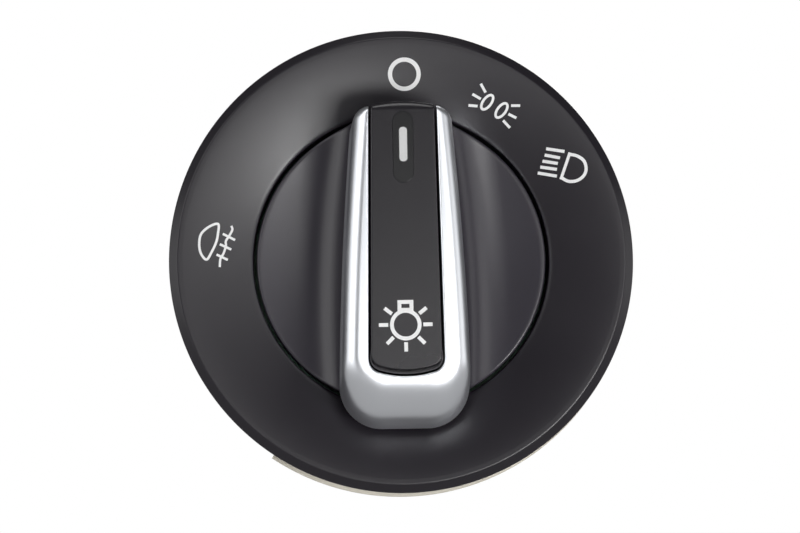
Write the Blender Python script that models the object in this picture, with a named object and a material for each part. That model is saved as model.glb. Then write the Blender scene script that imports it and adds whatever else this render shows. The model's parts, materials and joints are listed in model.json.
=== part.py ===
"""Rotary headlight switch: a dished round bezel, a scooped knob with a bright U-shaped grip trim, and the
lighting, latching and contact pieces behind them.

Metres, +Z up, front towards -Y. The origin is on the switch's turning axis, in the plane where the flange
seats on the panel. Pieces are drawn in face coordinates, x to the right, y up and z out towards the
driver, and hang from one empty that turns z on to -Y.
"""
import math

import bmesh
import bpy
from mathutils import Matrix, Vector

MM = 0.001

# Clearances
GAP = 0.3 * MM
RUNNING = 0.3 * MM
TRIM_LINE = 0.3 * MM
TRIM_LOW_LINE = 0.85 * MM
LENS_LINE = 0.15 * MM

# Bezel
BEZEL_RADIUS = 35.0 * MM
BEZEL_TAPER = 0.3 * MM
BEZEL_RIM_Z = 11.0 * MM
BEZEL_CHAMFER_WIDTH = 1.3 * MM
BEZEL_CHAMFER_DEPTH = 1.0 * MM
BEZEL_DISH_DEPTH = 2.2 * MM
BEZEL_WALL = 1.6 * MM
BEZEL_COLLAR_WALL = 1.3 * MM
BEZEL_COLLAR_LENGTH = 4.8 * MM
BEZEL_LIP = 0.4 * MM
SNAP_COUNT = 6
SNAP_WIDTH = 6.0 * MM
SNAP_HEIGHT = 2.0 * MM
SNAP_REACH = 1.0 * MM

# Knob
BEZEL_BAND = 13.15 * MM
KNOB_GAP = 0.5 * MM
KNOB_FACE_Z = 8.7 * MM
KNOB_FACE_WALL = 2.7 * MM
KNOB_DISH_DEPTH = 2.0 * MM
KNOB_EDGE = 0.8 * MM
KNOB_SKIRT_WALL = 1.6 * MM
KNOB_SKIRT_Z = 3.0 * MM
SCOOP_RUN = 7.5 * MM
SCOOP_RISE = 3.4 * MM
STEM_WIDTH = 12.0 * MM
STEM_CORNER = 1.0 * MM
STEM_NECK_RADIUS = 4.5 * MM
STEM_HEAD_RADIUS = 6.0 * MM
STEM_HEAD = 1.3 * MM
STEM_BORE_RADIUS = 2.6 * MM

# Grip
GRIP_FRONT_Z = 24.5 * MM
GRIP_TOP_INSET = 0.25 * MM
GRIP_OVERHANG = 3.6 * MM
GRIP_END_LEAN = 6.0 * MM
GRIP_END_ROLL = 0.9 * MM
GRIP_STATION = 18.2 * MM
GRIP_WIDTH_TOP = 15.3 * MM
GRIP_WIDTH_MIDDLE = 17.9 * MM
GRIP_WIDTH_LOW = 19.3 * MM
GRIP_DRAFT = 0.35 * MM
GRIP_ROUND_WIDTH = 1.7 * MM
GRIP_ROUND_HEIGHT = 2.4 * MM
GRIP_CORNER_TOP = 2.8 * MM
GRIP_CORNER_LOW = 4.6 * MM
INSERT_WIDTH_TOP = 9.3 * MM
INSERT_WIDTH_LOW = 10.4 * MM
INSERT_RISE = 8.15 * MM
INSERT_THICKNESS = 2.1 * MM
INSERT_SINK = 0.1 * MM
INSERT_NOSE = 1.4 * MM
INSERT_CORNER = 1.8 * MM
INSERT_BOW = 0.5 * MM
WINDOW_DROP = 6.35 * MM
WINDOW_WIDTH = 2.95 * MM
WINDOW_LENGTH = 10.4 * MM
LAMP_SIGN_RISE = 6.5 * MM
LAMP_FINGER_RADIUS = 4.0 * MM
PIPE_RING_INNER = 10.2 * MM
PIPE_RING_MARGIN = 2.25 * MM
PIPE_RING_Z = 4.0 * MM
PIPE_RING_THICKNESS = 1.4 * MM

# Travels
PUSH_TRAVEL = 2.2 * MM
PULL_TRAVEL = 4.0 * MM
KNOB_STEP = math.radians(30)
KNOB_POSITIONS = 3
RELEASE_TURN = math.radians(30)
PAWL_TRAVEL = 3.0 * MM
KNOB_LEAN = math.radians(1)

# Signs and lamps, as angles from the top, clockwise seen from the front
SIGN_ANGLES = {"off": 0.0, "side": math.radians(30), "low": math.radians(60), "fog": math.radians(-84)}
CHIP_MARGIN = 0.2 * MM
CHIP_LENGTH = 3.2 * MM
CHIP_WIDTH = 2.8 * MM
CHIP_HEIGHT = 0.8 * MM

# Light carrier, the cream moulding whose flange seats on the panel
FLANGE_STAND = 0.5 * MM
FLANGE_NOTCH_ANGLES = (math.radians(102), math.radians(222), math.radians(338))
FLANGE_NOTCH_DEPTH = 1.3 * MM
FLANGE_NOTCH_HALF_ANGLE = math.radians(14.6)
SEAT_RECESS = 0.3 * MM
CARRIER_PLATE = 1.6 * MM
CARRIER_WALL = 1.2 * MM
CARRIER_OUTER_HEIGHT = 7.6 * MM
CARRIER_INNER_HEIGHT = 6.2 * MM
CARRIER_SLEEVE_WALL = 1.0 * MM
CARRIER_SLEEVE_LENGTH = 2.6 * MM
CHAMBER_HALF_ANGLE = math.radians(11)
CHAMBER_RIB = 1.0 * MM
LUG_COUNT = 4
LUG_WIDTH = 5.0 * MM
LUG_REACH = 1.0 * MM
LUG_HEIGHT = 1.0 * MM
DIFFUSER_THICKNESS = 0.6 * MM
DIFFUSER_CLEARANCE = 0.5 * MM
BOARD_THICKNESS = 1.6 * MM

# Housing
SEAT_WIDTH = 3.5 * MM
HOUSING_WALL = 1.3 * MM
HOUSING_STEP = 6.0 * MM
HOUSING_TAIL_WALL = 1.5 * MM
HOUSING_SHOULDER = 1.5 * MM
GUSSET_COUNT = 8
GUSSET_THICKNESS = 1.4 * MM
GUSSET_LENGTH = 10.0 * MM
KEY_WIDTH = 3.0 * MM
KEY_REACH = 1.1 * MM
KEY_ANGLES = (math.radians(90), math.radians(250))

# Latch
PANEL_THICKNESS = 3.0 * MM
PAWL_WIDTH = 10.0 * MM
PAWL_THICKNESS = 3.0 * MM
PAWL_REACH = 2.5 * MM
PAWL_RAMP = 2.0 * MM
PAWL_TAIL = 1.6 * MM
PAWL_PIN_RADIUS = 1.0 * MM
CAM_THICKNESS = 2.0 * MM
CAM_INNER_WALL = 1.4 * MM
CAM_OUTER_WALL = 1.7 * MM
CAM_LUG_REACH = 2.5 * MM
CAM_LUG_HALF_ANGLE = math.radians(6)
PLATE_THICKNESS = 1.5 * MM
COLLAR_WALL = 2.0 * MM
RAIL_THICKNESS = 1.7 * MM
RAIL_MARGIN = 1.2 * MM
CAM_SPRING_ANGLE = math.radians(121)
CAM_SPRING_POST_RADIUS = 1.5 * MM
CAM_SPRING_WIRE = 0.7 * MM
CAM_SPRING_TURNS = 1.5

# Rotor and contacts
ROTOR_RADIUS = 9.7 * MM
ROTOR_FRONT_Z = 1.0 * MM
DETENT_ROOM = 2.0 * MM
ROTOR_DISC_THICKNESS = 2.0 * MM
ROTOR_DISC_DROP = 0.6 * MM
NOTCH_DEPTH = 1.0 * MM
NOTCH_HALF_WIDTH = 1.6 * MM
DETENT_STRIP = 0.4 * MM
DETENT_HALF_LENGTH = 7.0 * MM
BRIDGE_STRIP = 0.4 * MM
BRIDGE_HEIGHT = 1.2 * MM
BRIDGE_WIDTH = 3.0 * MM
BRIDGE_END = 1.0 * MM
TRACK_SHARES = (0.31, 0.715)
BRIDGE_ANGLES = (math.radians(200), math.radians(320))
TRACK_THICKNESS = 0.5 * MM
TRACK_WIDTH = 2.0 * MM
BASE_THICKNESS = 2.5 * MM
SLIDER_THICKNESS = 1.5 * MM
SLIDER_HALF_WIDTH = 8.0 * MM
SLIDER_TOP_Y = 14.0 * MM
SLIDER_FORK_Y = -6.0 * MM
POST_Y = 10.4 * MM
POST_RADIUS = 1.5 * MM
FOG_STRIP = 0.5 * MM
FOG_STRIP_HALF_WIDTH = 3.0 * MM
RETURN_WIRE = 0.7 * MM
RETURN_RADIUS = 8.85 * MM
RETURN_TURNS = 3.5

# Rear cover and connector
COVER_THICKNESS = 1.6 * MM
SPIGOT_WALL = 1.2 * MM
SPIGOT_LENGTH = 2.5 * MM
SHROUD_LENGTH = 11.8 * MM
SHROUD_WALL = 1.5 * MM
SHROUD_HALF_WIDTH = 13.0 * MM
SHROUD_HALF_HEIGHT = 8.0 * MM
CONNECTOR_INSET = 3.0 * MM
PIN_COLUMNS = 5
PIN_PITCH = 4.0 * MM
PIN_ROW_SPACING = 7.0 * MM
PIN_WIDTH = 2.0 * MM
PIN_THICKNESS = 0.8 * MM
PIN_STAND = 8.8 * MM

# Facets
FINE = 72
MIDDLING = 48
MEDIUM = 36
COARSE = 12

# Depths behind the seat, each piece stacked on the one in front of it
BOARD_FRONT = -GAP
BOARD_REAR = BOARD_FRONT - BOARD_THICKNESS
PAWL_FRONT = -(PANEL_THICKNESS + GAP)
PAWL_REAR = PAWL_FRONT - PAWL_THICKNESS
CAM_FRONT = PAWL_REAR - GAP
CAM_REAR = CAM_FRONT - CAM_THICKNESS
PLATE_FRONT = CAM_REAR - GAP
PLATE_REAR = PLATE_FRONT - PLATE_THICKNESS
SHOULDER_FRONT = PLATE_REAR - GAP
SHOULDER_REAR = SHOULDER_FRONT - HOUSING_SHOULDER
DISC_FRONT = PLATE_REAR - ROTOR_DISC_DROP
DISC_REAR = DISC_FRONT - ROTOR_DISC_THICKNESS
BRIDGE_FRONT = DISC_REAR - GAP
BRIDGE_TIP = BRIDGE_FRONT - BRIDGE_HEIGHT
TRACK_FRONT = BRIDGE_TIP - GAP
TRACK_REAR = TRACK_FRONT - TRACK_THICKNESS
BASE_FRONT = TRACK_REAR - GAP
BASE_REAR = BASE_FRONT - BASE_THICKNESS
SLIDER_FRONT = BASE_REAR - PULL_TRAVEL - 2 * GAP
SLIDER_REAR = SLIDER_FRONT - SLIDER_THICKNESS
NECK_FRONT = SLIDER_FRONT + GAP
NECK_REAR = SLIDER_REAR - GAP
STEM_END = NECK_REAR - STEM_HEAD
COVER_FRONT = STEM_END - PUSH_TRAVEL - 2 * GAP
COVER_REAR = COVER_FRONT - COVER_THICKNESS
HOUSING_END = COVER_FRONT + GAP
SHROUD_END = COVER_REAR - SHROUD_LENGTH

# Radii that follow from the sizes above
FLANGE_RADIUS = BEZEL_RADIUS + FLANGE_STAND
HOUSING_RADIUS = BEZEL_RADIUS - SEAT_WIDTH
HOUSING_TAIL_RADIUS = HOUSING_RADIUS - HOUSING_STEP
HOUSING_BORE = HOUSING_RADIUS - HOUSING_WALL
TAIL_BORE = HOUSING_TAIL_RADIUS - HOUSING_TAIL_WALL
KNOB_RADIUS = BEZEL_RADIUS - BEZEL_BAND
BEZEL_HOLE_RADIUS = KNOB_RADIUS + KNOB_GAP
SKIRT_BORE = BEZEL_RADIUS - BEZEL_TAPER - BEZEL_WALL
CARRIER_OUTER = SKIRT_BORE
SLEEVE_RADIUS = HOUSING_BORE - GAP
BOARD_RADIUS = SLEEVE_RADIUS - CARRIER_SLEEVE_WALL - GAP
CHIP_RADIUS = BOARD_RADIUS - CHIP_WIDTH / 2 - CHIP_MARGIN
CARRIER_INNER = BEZEL_HOLE_RADIUS + BEZEL_COLLAR_WALL + GAP
PLATE_RADIUS = HOUSING_BORE - GAP
ROTOR_BORE = ROTOR_RADIUS + RUNNING
COLLAR_RADIUS = ROTOR_BORE + COLLAR_WALL
CAM_BORE = COLLAR_RADIUS + RUNNING
SLOT_HALF_WIDTH = PAWL_PIN_RADIUS + RUNNING
PAWL_PIN_X = CAM_BORE + CAM_INNER_WALL + SLOT_HALF_WIDTH + PAWL_TRAVEL
CAM_RADIUS = PAWL_PIN_X + SLOT_HALF_WIDTH + CAM_OUTER_WALL
CAM_SPRING_POST_AT = (CAM_RADIUS + HOUSING_BORE) / 2
RAIL_OUTER_X = HOUSING_BORE - RAIL_MARGIN
ROTOR_DISC_RADIUS = TAIL_BORE - DETENT_ROOM
INNER_TRACK, OUTER_TRACK = (
    ROTOR_RADIUS + (ROTOR_DISC_RADIUS - ROTOR_RADIUS) * share for share in TRACK_SHARES
)
TRACKS = {
    "common": (INNER_TRACK, math.radians(130), math.radians(350)),
    "side": (OUTER_TRACK, math.radians(140), math.radians(240)),
    "low": (OUTER_TRACK, math.radians(250), math.radians(340)),
}
GRIP_FOOT_Z = KNOB_FACE_Z + SCOOP_RISE + GAP
INSERT_FRONT_Z = GRIP_FRONT_Z - INSERT_SINK
CORE_FRONT_Z = INSERT_FRONT_Z - INSERT_THICKNESS - GAP
CAVITY_Z = KNOB_FACE_Z - KNOB_FACE_WALL

# Places on the grip and under it, and of the connector
GRIP_TOP_Y = KNOB_RADIUS - GRIP_TOP_INSET
GRIP_FOOT_Y = -(KNOB_RADIUS + GRIP_OVERHANG)
INSERT_LOW_Y = GRIP_FOOT_Y + INSERT_RISE
WINDOW_Y = GRIP_TOP_Y - WINDOW_DROP
LAMP_SIGN_Y = INSERT_LOW_Y + LAMP_SIGN_RISE
CONNECTOR_Y = SHROUD_HALF_HEIGHT + CONNECTOR_INSET - TAIL_BORE
PIPE_RING_OUTER = KNOB_RADIUS - KNOB_SKIRT_WALL - PIPE_RING_MARGIN
KNOB_CHIP_RADIUS = (PIPE_RING_INNER + PIPE_RING_OUTER) / 2

AXIS = {"current": "switch_axis"}
PLASTIC = {"black": (0.02, 0.02, 0.022), "cream": (0.62, 0.58, 0.49), "milky": (0.8, 0.8, 0.78)}


def clear_scene():
    for obj in list(bpy.data.objects):
        bpy.data.objects.remove(obj, do_unlink=True)


def make_material(name, color, roughness, metallic=0.0, alpha=1.0):
    material = bpy.data.materials.new(name)
    material.use_nodes = True
    shader = material.node_tree.nodes["Principled BSDF"]
    shader.inputs["Base Color"].default_value = (*color, 1.0)
    shader.inputs["Roughness"].default_value = roughness
    shader.inputs["Metallic"].default_value = metallic
    shader.inputs["Alpha"].default_value = alpha
    return material


def finish(obj, color, roughness, metallic=0.0, alpha=1.0):
    """Give a piece its material and smooth shading with crisp edges."""
    obj.data.materials.clear()
    obj.data.materials.append(make_material(obj.name, color, roughness, metallic, alpha))
    obj.data.shade_smooth()
    obj.data.set_sharp_from_angle(angle=math.radians(32))
    return obj


def new_object(name, bm):
    """Put a closed bmesh in the scene, faces outward, under the axis that is current."""
    bmesh.ops.remove_doubles(bm, verts=bm.verts, dist=1e-7)
    bmesh.ops.recalc_face_normals(bm, faces=bm.faces)
    mesh = bpy.data.meshes.new(name)
    bm.to_mesh(mesh)
    bm.free()
    obj = bpy.data.objects.new(name, mesh)
    bpy.context.collection.objects.link(obj)
    obj.parent = bpy.data.objects[AXIS["current"]]
    return obj


def as_tool(obj):
    """A shape that only cuts or joins: shown as wire and left out of the part."""
    obj.hide_render = True
    obj.display_type = "WIRE"
    return obj


def boolean(obj, tool, operation):
    step = obj.modifiers.new(tool.name, "BOOLEAN")
    step.operation = operation
    step.object = as_tool(tool)
    return obj


def cut(obj, *tools):
    for tool in tools:
        boolean(obj, tool, "DIFFERENCE")
    return obj


def join(obj, *tools):
    for tool in tools:
        boolean(obj, tool, "UNION")
    return obj


def polar(radius, angle):
    return Vector((radius * math.cos(angle), radius * math.sin(angle), 0.0))


def from_top(angle):
    """Polar angle of a sign given clockwise from the top."""
    return math.pi / 2 - angle


def arc(center, radius, start, end, steps):
    """Points of an arc, as (x, y) pairs, both ends included."""
    return [
        (
            center[0] + radius * math.cos(start + (end - start) * i / steps),
            center[1] + radius * math.sin(start + (end - start) * i / steps),
        )
        for i in range(steps + 1)
    ]


def turned(name, profile, segments=MEDIUM):
    """Ring or disc turned about the axis from a closed (radius, z) outline."""
    bm = bmesh.new()
    rim = [bm.verts.new((radius, 0.0, z)) for radius, z in profile]
    edges = [bm.edges.new((a, b)) for a, b in zip(rim, rim[1:] + rim[:1]) if a.co.x > 0 or b.co.x > 0]
    bmesh.ops.spin(
        bm, geom=rim + edges, cent=(0, 0, 0), axis=(0, 0, 1), angle=math.tau, steps=segments, use_merge=True
    )
    return new_object(name, bm)


def ring(name, inner, outer, front, rear, segments=MEDIUM):
    return turned(name, [(inner, rear), (outer, rear), (outer, front), (inner, front)], segments)


def prism(name, outline, front, rear):
    """Flat outline in the face plane, extruded from rear to front."""
    bm = bmesh.new()
    face = bm.faces.new([bm.verts.new((x, y, rear)) for x, y in outline])
    top = bmesh.ops.extrude_face_region(bm, geom=[face])
    verts = [item for item in top["geom"] if isinstance(item, bmesh.types.BMVert)]
    bmesh.ops.translate(bm, verts=verts, vec=(0, 0, front - rear))
    return new_object(name, bm)


def box(name, low, high, angle=0.0):
    """Box between two corners, turned about the axis by an angle."""
    outline = [(low[0], low[1]), (high[0], low[1]), (high[0], high[1]), (low[0], high[1])]
    turn = Matrix.Rotation(angle, 2)
    return prism(name, [turn @ Vector(point) for point in outline], high[2], low[2])


def peg(name, x, y, radius, front, rear, segments=COARSE):
    return prism(name, arc((x, y), radius, 0, math.tau, segments)[:-1], front, rear)


def slab(name, profile, half_width):
    """(y, z) outline extruded sideways, the same distance each way from the middle."""
    bm = bmesh.new()
    face = bm.faces.new([bm.verts.new((-half_width, y, z)) for y, z in profile])
    side = bmesh.ops.extrude_face_region(bm, geom=[face])
    verts = [item for item in side["geom"] if isinstance(item, bmesh.types.BMVert)]
    bmesh.ops.translate(bm, verts=verts, vec=(2 * half_width, 0, 0))
    return new_object(name, bm)


def loft(name, sections):
    """Closed solid through sections that have the same number of 3D points, with flat ends."""
    bm = bmesh.new()
    loops = [[bm.verts.new(point) for point in section] for section in sections]
    for lower, upper in zip(loops, loops[1:]):
        count = len(lower)
        for i in range(count):
            j = (i + 1) % count
            bm.faces.new((lower[i], lower[j], upper[j], upper[i]))
    bm.faces.new(loops[0])
    bm.faces.new(loops[-1])
    return new_object(name, bm)


def rectangle(half_x, half_y, z):
    return [(-half_x, -half_y, z), (half_x, -half_y, z), (half_x, half_y, z), (-half_x, half_y, z)]


def wire(name, points, thickness):
    """Round wire through the points, with closed ends."""
    curve = bpy.data.curves.new(name, "CURVE")
    curve.dimensions = "3D"
    curve.bevel_depth = thickness / 2
    curve.bevel_resolution = 1
    curve.use_fill_caps = True
    spline = curve.splines.new("POLY")
    spline.points.add(len(points) - 1)
    for target, point in zip(spline.points, points):
        target.co = (*point, 1.0)
    obj = bpy.data.objects.new(name, curve)
    bpy.context.collection.objects.link(obj)
    obj.parent = bpy.data.objects[AXIS["current"]]
    return obj


def finish_wire(obj):
    obj.data.materials.append(make_material(obj.name, (0.55, 0.55, 0.56), 0.3, 1.0))
    return obj


def sector(inner, outer, start, end, steps):
    """Outline of a ring sector."""
    return arc((0, 0), outer, start, end, steps) + arc((0, 0), inner, end, start, steps)


# Bezel


def dish_z(radius):
    """Front of the bezel: level at the rim and falling ever faster towards the knob."""
    rim = BEZEL_RADIUS - BEZEL_CHAMFER_WIDTH
    share = (rim - radius) / (rim - BEZEL_HOLE_RADIUS)
    return BEZEL_RIM_Z - BEZEL_DISH_DEPTH * max(share, 0.0) ** 1.3


def make_bezel():
    rim = BEZEL_RADIUS - BEZEL_CHAMFER_WIDTH
    hole = BEZEL_HOLE_RADIUS
    edge_z = BEZEL_RIM_Z - BEZEL_CHAMFER_DEPTH
    rear = CARRIER_PLATE + GAP
    steps = 5
    front = [rim + (hole + BEZEL_LIP - rim) * i / steps for i in range(steps + 1)]
    inner_face = [hole + BEZEL_COLLAR_WALL, (hole + SKIRT_BORE) / 2, SKIRT_BORE - BEZEL_CHAMFER_WIDTH / 2]
    profile = [(BEZEL_RADIUS - BEZEL_TAPER, rear), (BEZEL_RADIUS, edge_z)]
    profile += [(radius, dish_z(radius)) for radius in front]
    profile += [(hole, dish_z(hole) - BEZEL_LIP), (hole, dish_z(hole) - BEZEL_COLLAR_LENGTH)]
    profile += [(hole + BEZEL_COLLAR_WALL, dish_z(hole) - BEZEL_COLLAR_LENGTH)]
    profile += [(radius, dish_z(radius) - BEZEL_WALL) for radius in inner_face]
    profile += [(SKIRT_BORE, edge_z - BEZEL_WALL), (SKIRT_BORE, rear)]
    bezel = turned("bezel", profile, FINE)
    low, middle, high = snap_levels()
    for i in range(SNAP_COUNT):
        hook_profile = [
            (SKIRT_BORE + BEZEL_WALL / 2, low),
            (SKIRT_BORE - SNAP_REACH, middle),
            (SKIRT_BORE - SNAP_REACH, high),
            (SKIRT_BORE + BEZEL_WALL / 2, high),
        ]
        hook = slab(f"bezel_snap_{i}", hook_profile, SNAP_WIDTH / 2)
        hook.rotation_euler.z = snap_angle(i) - math.pi / 2
        join(bezel, hook)
    return finish(bezel, PLASTIC["black"], 0.42)


def snap_angle(i):
    return math.tau * (i + 0.5) / SNAP_COUNT


def snap_levels():
    """Foot, shoulder and top of the bezel's snap bumps."""
    low = CARRIER_PLATE + 2 * GAP
    return low, low + SNAP_HEIGHT / 2, low + SNAP_HEIGHT


# Light carrier, diffuser and board


def make_carrier():
    outer = CARRIER_OUTER - GAP
    inner = CARRIER_INNER
    sleeve_bore = SLEEVE_RADIUS - CARRIER_SLEEVE_WALL
    profile = [
        (inner - CARRIER_WALL / 2, 0.0),
        (sleeve_bore, 0.0),
        (sleeve_bore, -CARRIER_SLEEVE_LENGTH),
        (SLEEVE_RADIUS, -CARRIER_SLEEVE_LENGTH),
        (SLEEVE_RADIUS, SEAT_RECESS),
        (HOUSING_RADIUS + GAP, SEAT_RECESS),
        (HOUSING_RADIUS + GAP, 0.0),
        (FLANGE_RADIUS, 0.0),
        (FLANGE_RADIUS, CARRIER_PLATE),
        (outer, CARRIER_PLATE),
        (outer, CARRIER_OUTER_HEIGHT),
        (outer - CARRIER_WALL, CARRIER_OUTER_HEIGHT),
        (outer - CARRIER_WALL, CARRIER_PLATE),
        (inner + CARRIER_WALL, CARRIER_PLATE),
        (inner + CARRIER_WALL, CARRIER_INNER_HEIGHT),
        (inner, CARRIER_INNER_HEIGHT),
        (inner, CARRIER_PLATE),
        (inner - CARRIER_WALL / 2, CARRIER_PLATE),
    ]
    carrier = turned("light_carrier", profile, MIDDLING)
    for i, center in enumerate(FLANGE_NOTCH_ANGLES):
        outline = sector(
            FLANGE_RADIUS - FLANGE_NOTCH_DEPTH,
            FLANGE_RADIUS + FLANGE_NOTCH_DEPTH,
            center - FLANGE_NOTCH_HALF_ANGLE,
            center + FLANGE_NOTCH_HALF_ANGLE,
            6,
        )
        cut(carrier, prism(f"flange_notch_{i}", outline, CARRIER_PLATE + GAP, -GAP))
    for sign, angle in SIGN_ANGLES.items():
        for side in (-1, 1):
            rib = box(
                f"chamber_rib_{sign}_{side + 1}",
                (inner + CARRIER_WALL / 2, -CHAMBER_RIB / 2, CARRIER_PLATE / 2),
                (outer - CARRIER_WALL / 2, CHAMBER_RIB / 2, CARRIER_INNER_HEIGHT - GAP),
                from_top(angle) + side * CHAMBER_HALF_ANGLE,
            )
            join(carrier, rib)
        light_hole = box(
            f"light_hole_{sign}",
            (CHIP_RADIUS - CHIP_WIDTH / 2 - GAP, -CHIP_LENGTH / 2 - GAP, -GAP),
            (CHIP_RADIUS + CHIP_WIDTH / 2 + GAP, CHIP_LENGTH / 2 + GAP, CARRIER_PLATE + GAP),
            from_top(angle),
        )
        cut(carrier, light_hole)
    low, _, high = snap_levels()
    for i in range(SNAP_COUNT):
        window = box(
            f"snap_window_{i}",
            (CARRIER_OUTER - CARRIER_WALL - 2 * GAP, -SNAP_WIDTH / 2 - GAP, low - GAP),
            (CARRIER_OUTER + GAP, SNAP_WIDTH / 2 + GAP, high + GAP),
            snap_angle(i),
        )
        cut(carrier, window)
    for i in range(LUG_COUNT):
        lug = box(
            f"carrier_lug_{i}",
            (SLEEVE_RADIUS - CARRIER_SLEEVE_WALL / 2, -LUG_WIDTH / 2, -CARRIER_SLEEVE_LENGTH + GAP),
            (SLEEVE_RADIUS + LUG_REACH, LUG_WIDTH / 2, -CARRIER_SLEEVE_LENGTH + GAP + LUG_HEIGHT),
            lug_angle(i),
        )
        join(carrier, lug)
    return finish(carrier, PLASTIC["cream"], 0.45)


def lug_angle(i):
    return math.tau * (i + 0.5) / LUG_COUNT


def make_diffuser():
    """Conical ring that rests on the carrier's inner wall and follows the bezel's dish."""
    inner = CARRIER_INNER + GAP
    outer = CARRIER_OUTER - 2 * GAP
    foot = CARRIER_INNER_HEIGHT + GAP
    rim_under = dish_z(outer) - BEZEL_WALL - DIFFUSER_CLEARANCE
    profile = [
        (inner, foot),
        (outer, rim_under - DIFFUSER_THICKNESS),
        (outer, rim_under),
        (inner, foot + DIFFUSER_THICKNESS),
    ]
    return finish(turned("diffuser", profile, MEDIUM), PLASTIC["milky"], 0.5, alpha=0.7)


def make_chip(name, x, y, angle):
    """Light chip: a flat package with a slightly smaller lit face."""
    base = BOARD_FRONT + GAP
    top = base + CHIP_HEIGHT
    edge = CHIP_HEIGHT / 4
    levels = [(0.0, base), (0.0, top - edge), (edge, top - edge), (edge, top)]
    chip = loft(name, [rectangle(CHIP_WIDTH / 2 - inset, CHIP_LENGTH / 2 - inset, z) for inset, z in levels])
    chip.location = (x, y, 0)
    chip.rotation_euler.z = angle
    return finish(chip, (0.85, 0.8, 0.45), 0.35)


def make_board():
    board = ring("led_board", ROTOR_BORE + RUNNING, BOARD_RADIUS, BOARD_FRONT, BOARD_REAR)
    finish(board, (0.03, 0.16, 0.07), 0.4)
    for sign, angle in SIGN_ANGLES.items():
        place = polar(CHIP_RADIUS, from_top(angle))
        make_chip(f"symbol_led_{sign}", place.x, place.y, from_top(angle))
    make_chip("knob_led_upper", 0, KNOB_CHIP_RADIUS, math.pi / 2)
    make_chip("knob_led_lower", 0, -KNOB_CHIP_RADIUS, -math.pi / 2)


# Knob, grip trim and insert


def face_z(radius):
    """Front of the knob's disc: it carries the bezel's dish on towards the grip."""
    return KNOB_FACE_Z - KNOB_DISH_DEPTH * (1 - min(radius / (KNOB_RADIUS - KNOB_EDGE), 1.0) ** 2)


def grip_half_width(y):
    """Half the grip's width at its foot: a shallow curve through the widths at its ends and middle."""
    share = y / GRIP_STATION
    slope = (GRIP_WIDTH_TOP - GRIP_WIDTH_LOW) / 2
    bow = (GRIP_WIDTH_TOP + GRIP_WIDTH_LOW) / 2 - GRIP_WIDTH_MIDDLE
    return (GRIP_WIDTH_MIDDLE + slope * share + bow * share * share) / 2


def insert_half_width(y):
    """Half the insert's width, tapering evenly from its low end to the top of the grip."""
    share = (y - INSERT_LOW_Y) / (GRIP_TOP_Y - INSERT_LOW_Y)
    return (INSERT_WIDTH_LOW + (INSERT_WIDTH_TOP - INSERT_WIDTH_LOW) * share) / 2


def grip_outline(inset, top, low, z):
    """Plan of the whole grip at one level: curved sides between rounded corners."""
    top_radius = GRIP_CORNER_TOP - inset
    low_radius = GRIP_CORNER_LOW - inset
    top_center = (grip_half_width(top - top_radius) - inset - top_radius, top - top_radius)
    low_center = (grip_half_width(low + low_radius) - inset - low_radius, low + low_radius)
    right = arc(top_center, top_radius, math.pi / 2, 0, 5)
    steps = 5
    for i in range(1, steps):
        y = top_center[1] + (low_center[1] - top_center[1]) * i / steps
        right.append((grip_half_width(y) - inset, y))
    right += arc(low_center, low_radius, 0, -math.pi / 2, 6)
    left = [(-x, y) for x, y in reversed(right)]
    return [(x, y, z) for x, y in right + left]


def grip_levels():
    """Levels of the grip from foot to front: draft, sloping lower end and a rolled front edge."""
    height = GRIP_FRONT_Z - GRIP_FOOT_Z
    roll_from = height - GRIP_ROUND_HEIGHT
    levels = [roll_from * i / 4 for i in range(5)]
    levels += [roll_from + GRIP_ROUND_HEIGHT * math.sin(math.radians(a)) for a in (25, 50, 70, 90)]
    for up in levels:
        share = up / height
        rise = max(up - roll_from, 0.0) / GRIP_ROUND_HEIGHT
        curl = 1 - math.sqrt(max(1 - rise * rise, 0.0))
        roll = GRIP_ROUND_WIDTH * curl
        low = GRIP_FOOT_Y + GRIP_END_LEAN * share ** 1.7 + GRIP_END_ROLL * curl
        yield GRIP_DRAFT * share + roll, GRIP_TOP_Y - roll / 3, low, GRIP_FOOT_Z + up


def channel_outline(widen, low, top):
    """Plan of the slot for the core and insert, or of the pieces in it: rounded corners and a bowed low end."""
    radius = INSERT_CORNER + widen
    corner_x = insert_half_width(low) + widen - radius
    slope = math.atan2(2 * INSERT_BOW, corner_x)
    right = [(insert_half_width(top) + widen, top)]
    right += arc((corner_x, low + INSERT_BOW + radius), radius, 0, slope - math.pi / 2, 4)
    end_x, end_y = right[-1]
    right.append((end_x / 2, low + (end_y - low) / 4))
    return right + [(0.0, low)] + [(-x, y) for x, y in reversed(right)]


def make_grip_trim():
    trim = loft("grip_trim", [grip_outline(*level) for level in grip_levels()])
    beyond = 4 * GRIP_CORNER_TOP
    outline = channel_outline(TRIM_LINE, INSERT_LOW_Y - TRIM_LOW_LINE, GRIP_TOP_Y + beyond)
    cut(trim, prism("trim_channel", outline, GRIP_FRONT_Z + beyond, GRIP_FOOT_Z - beyond))
    return finish(trim, (0.62, 0.63, 0.65), 0.28, 1.0)


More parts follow.
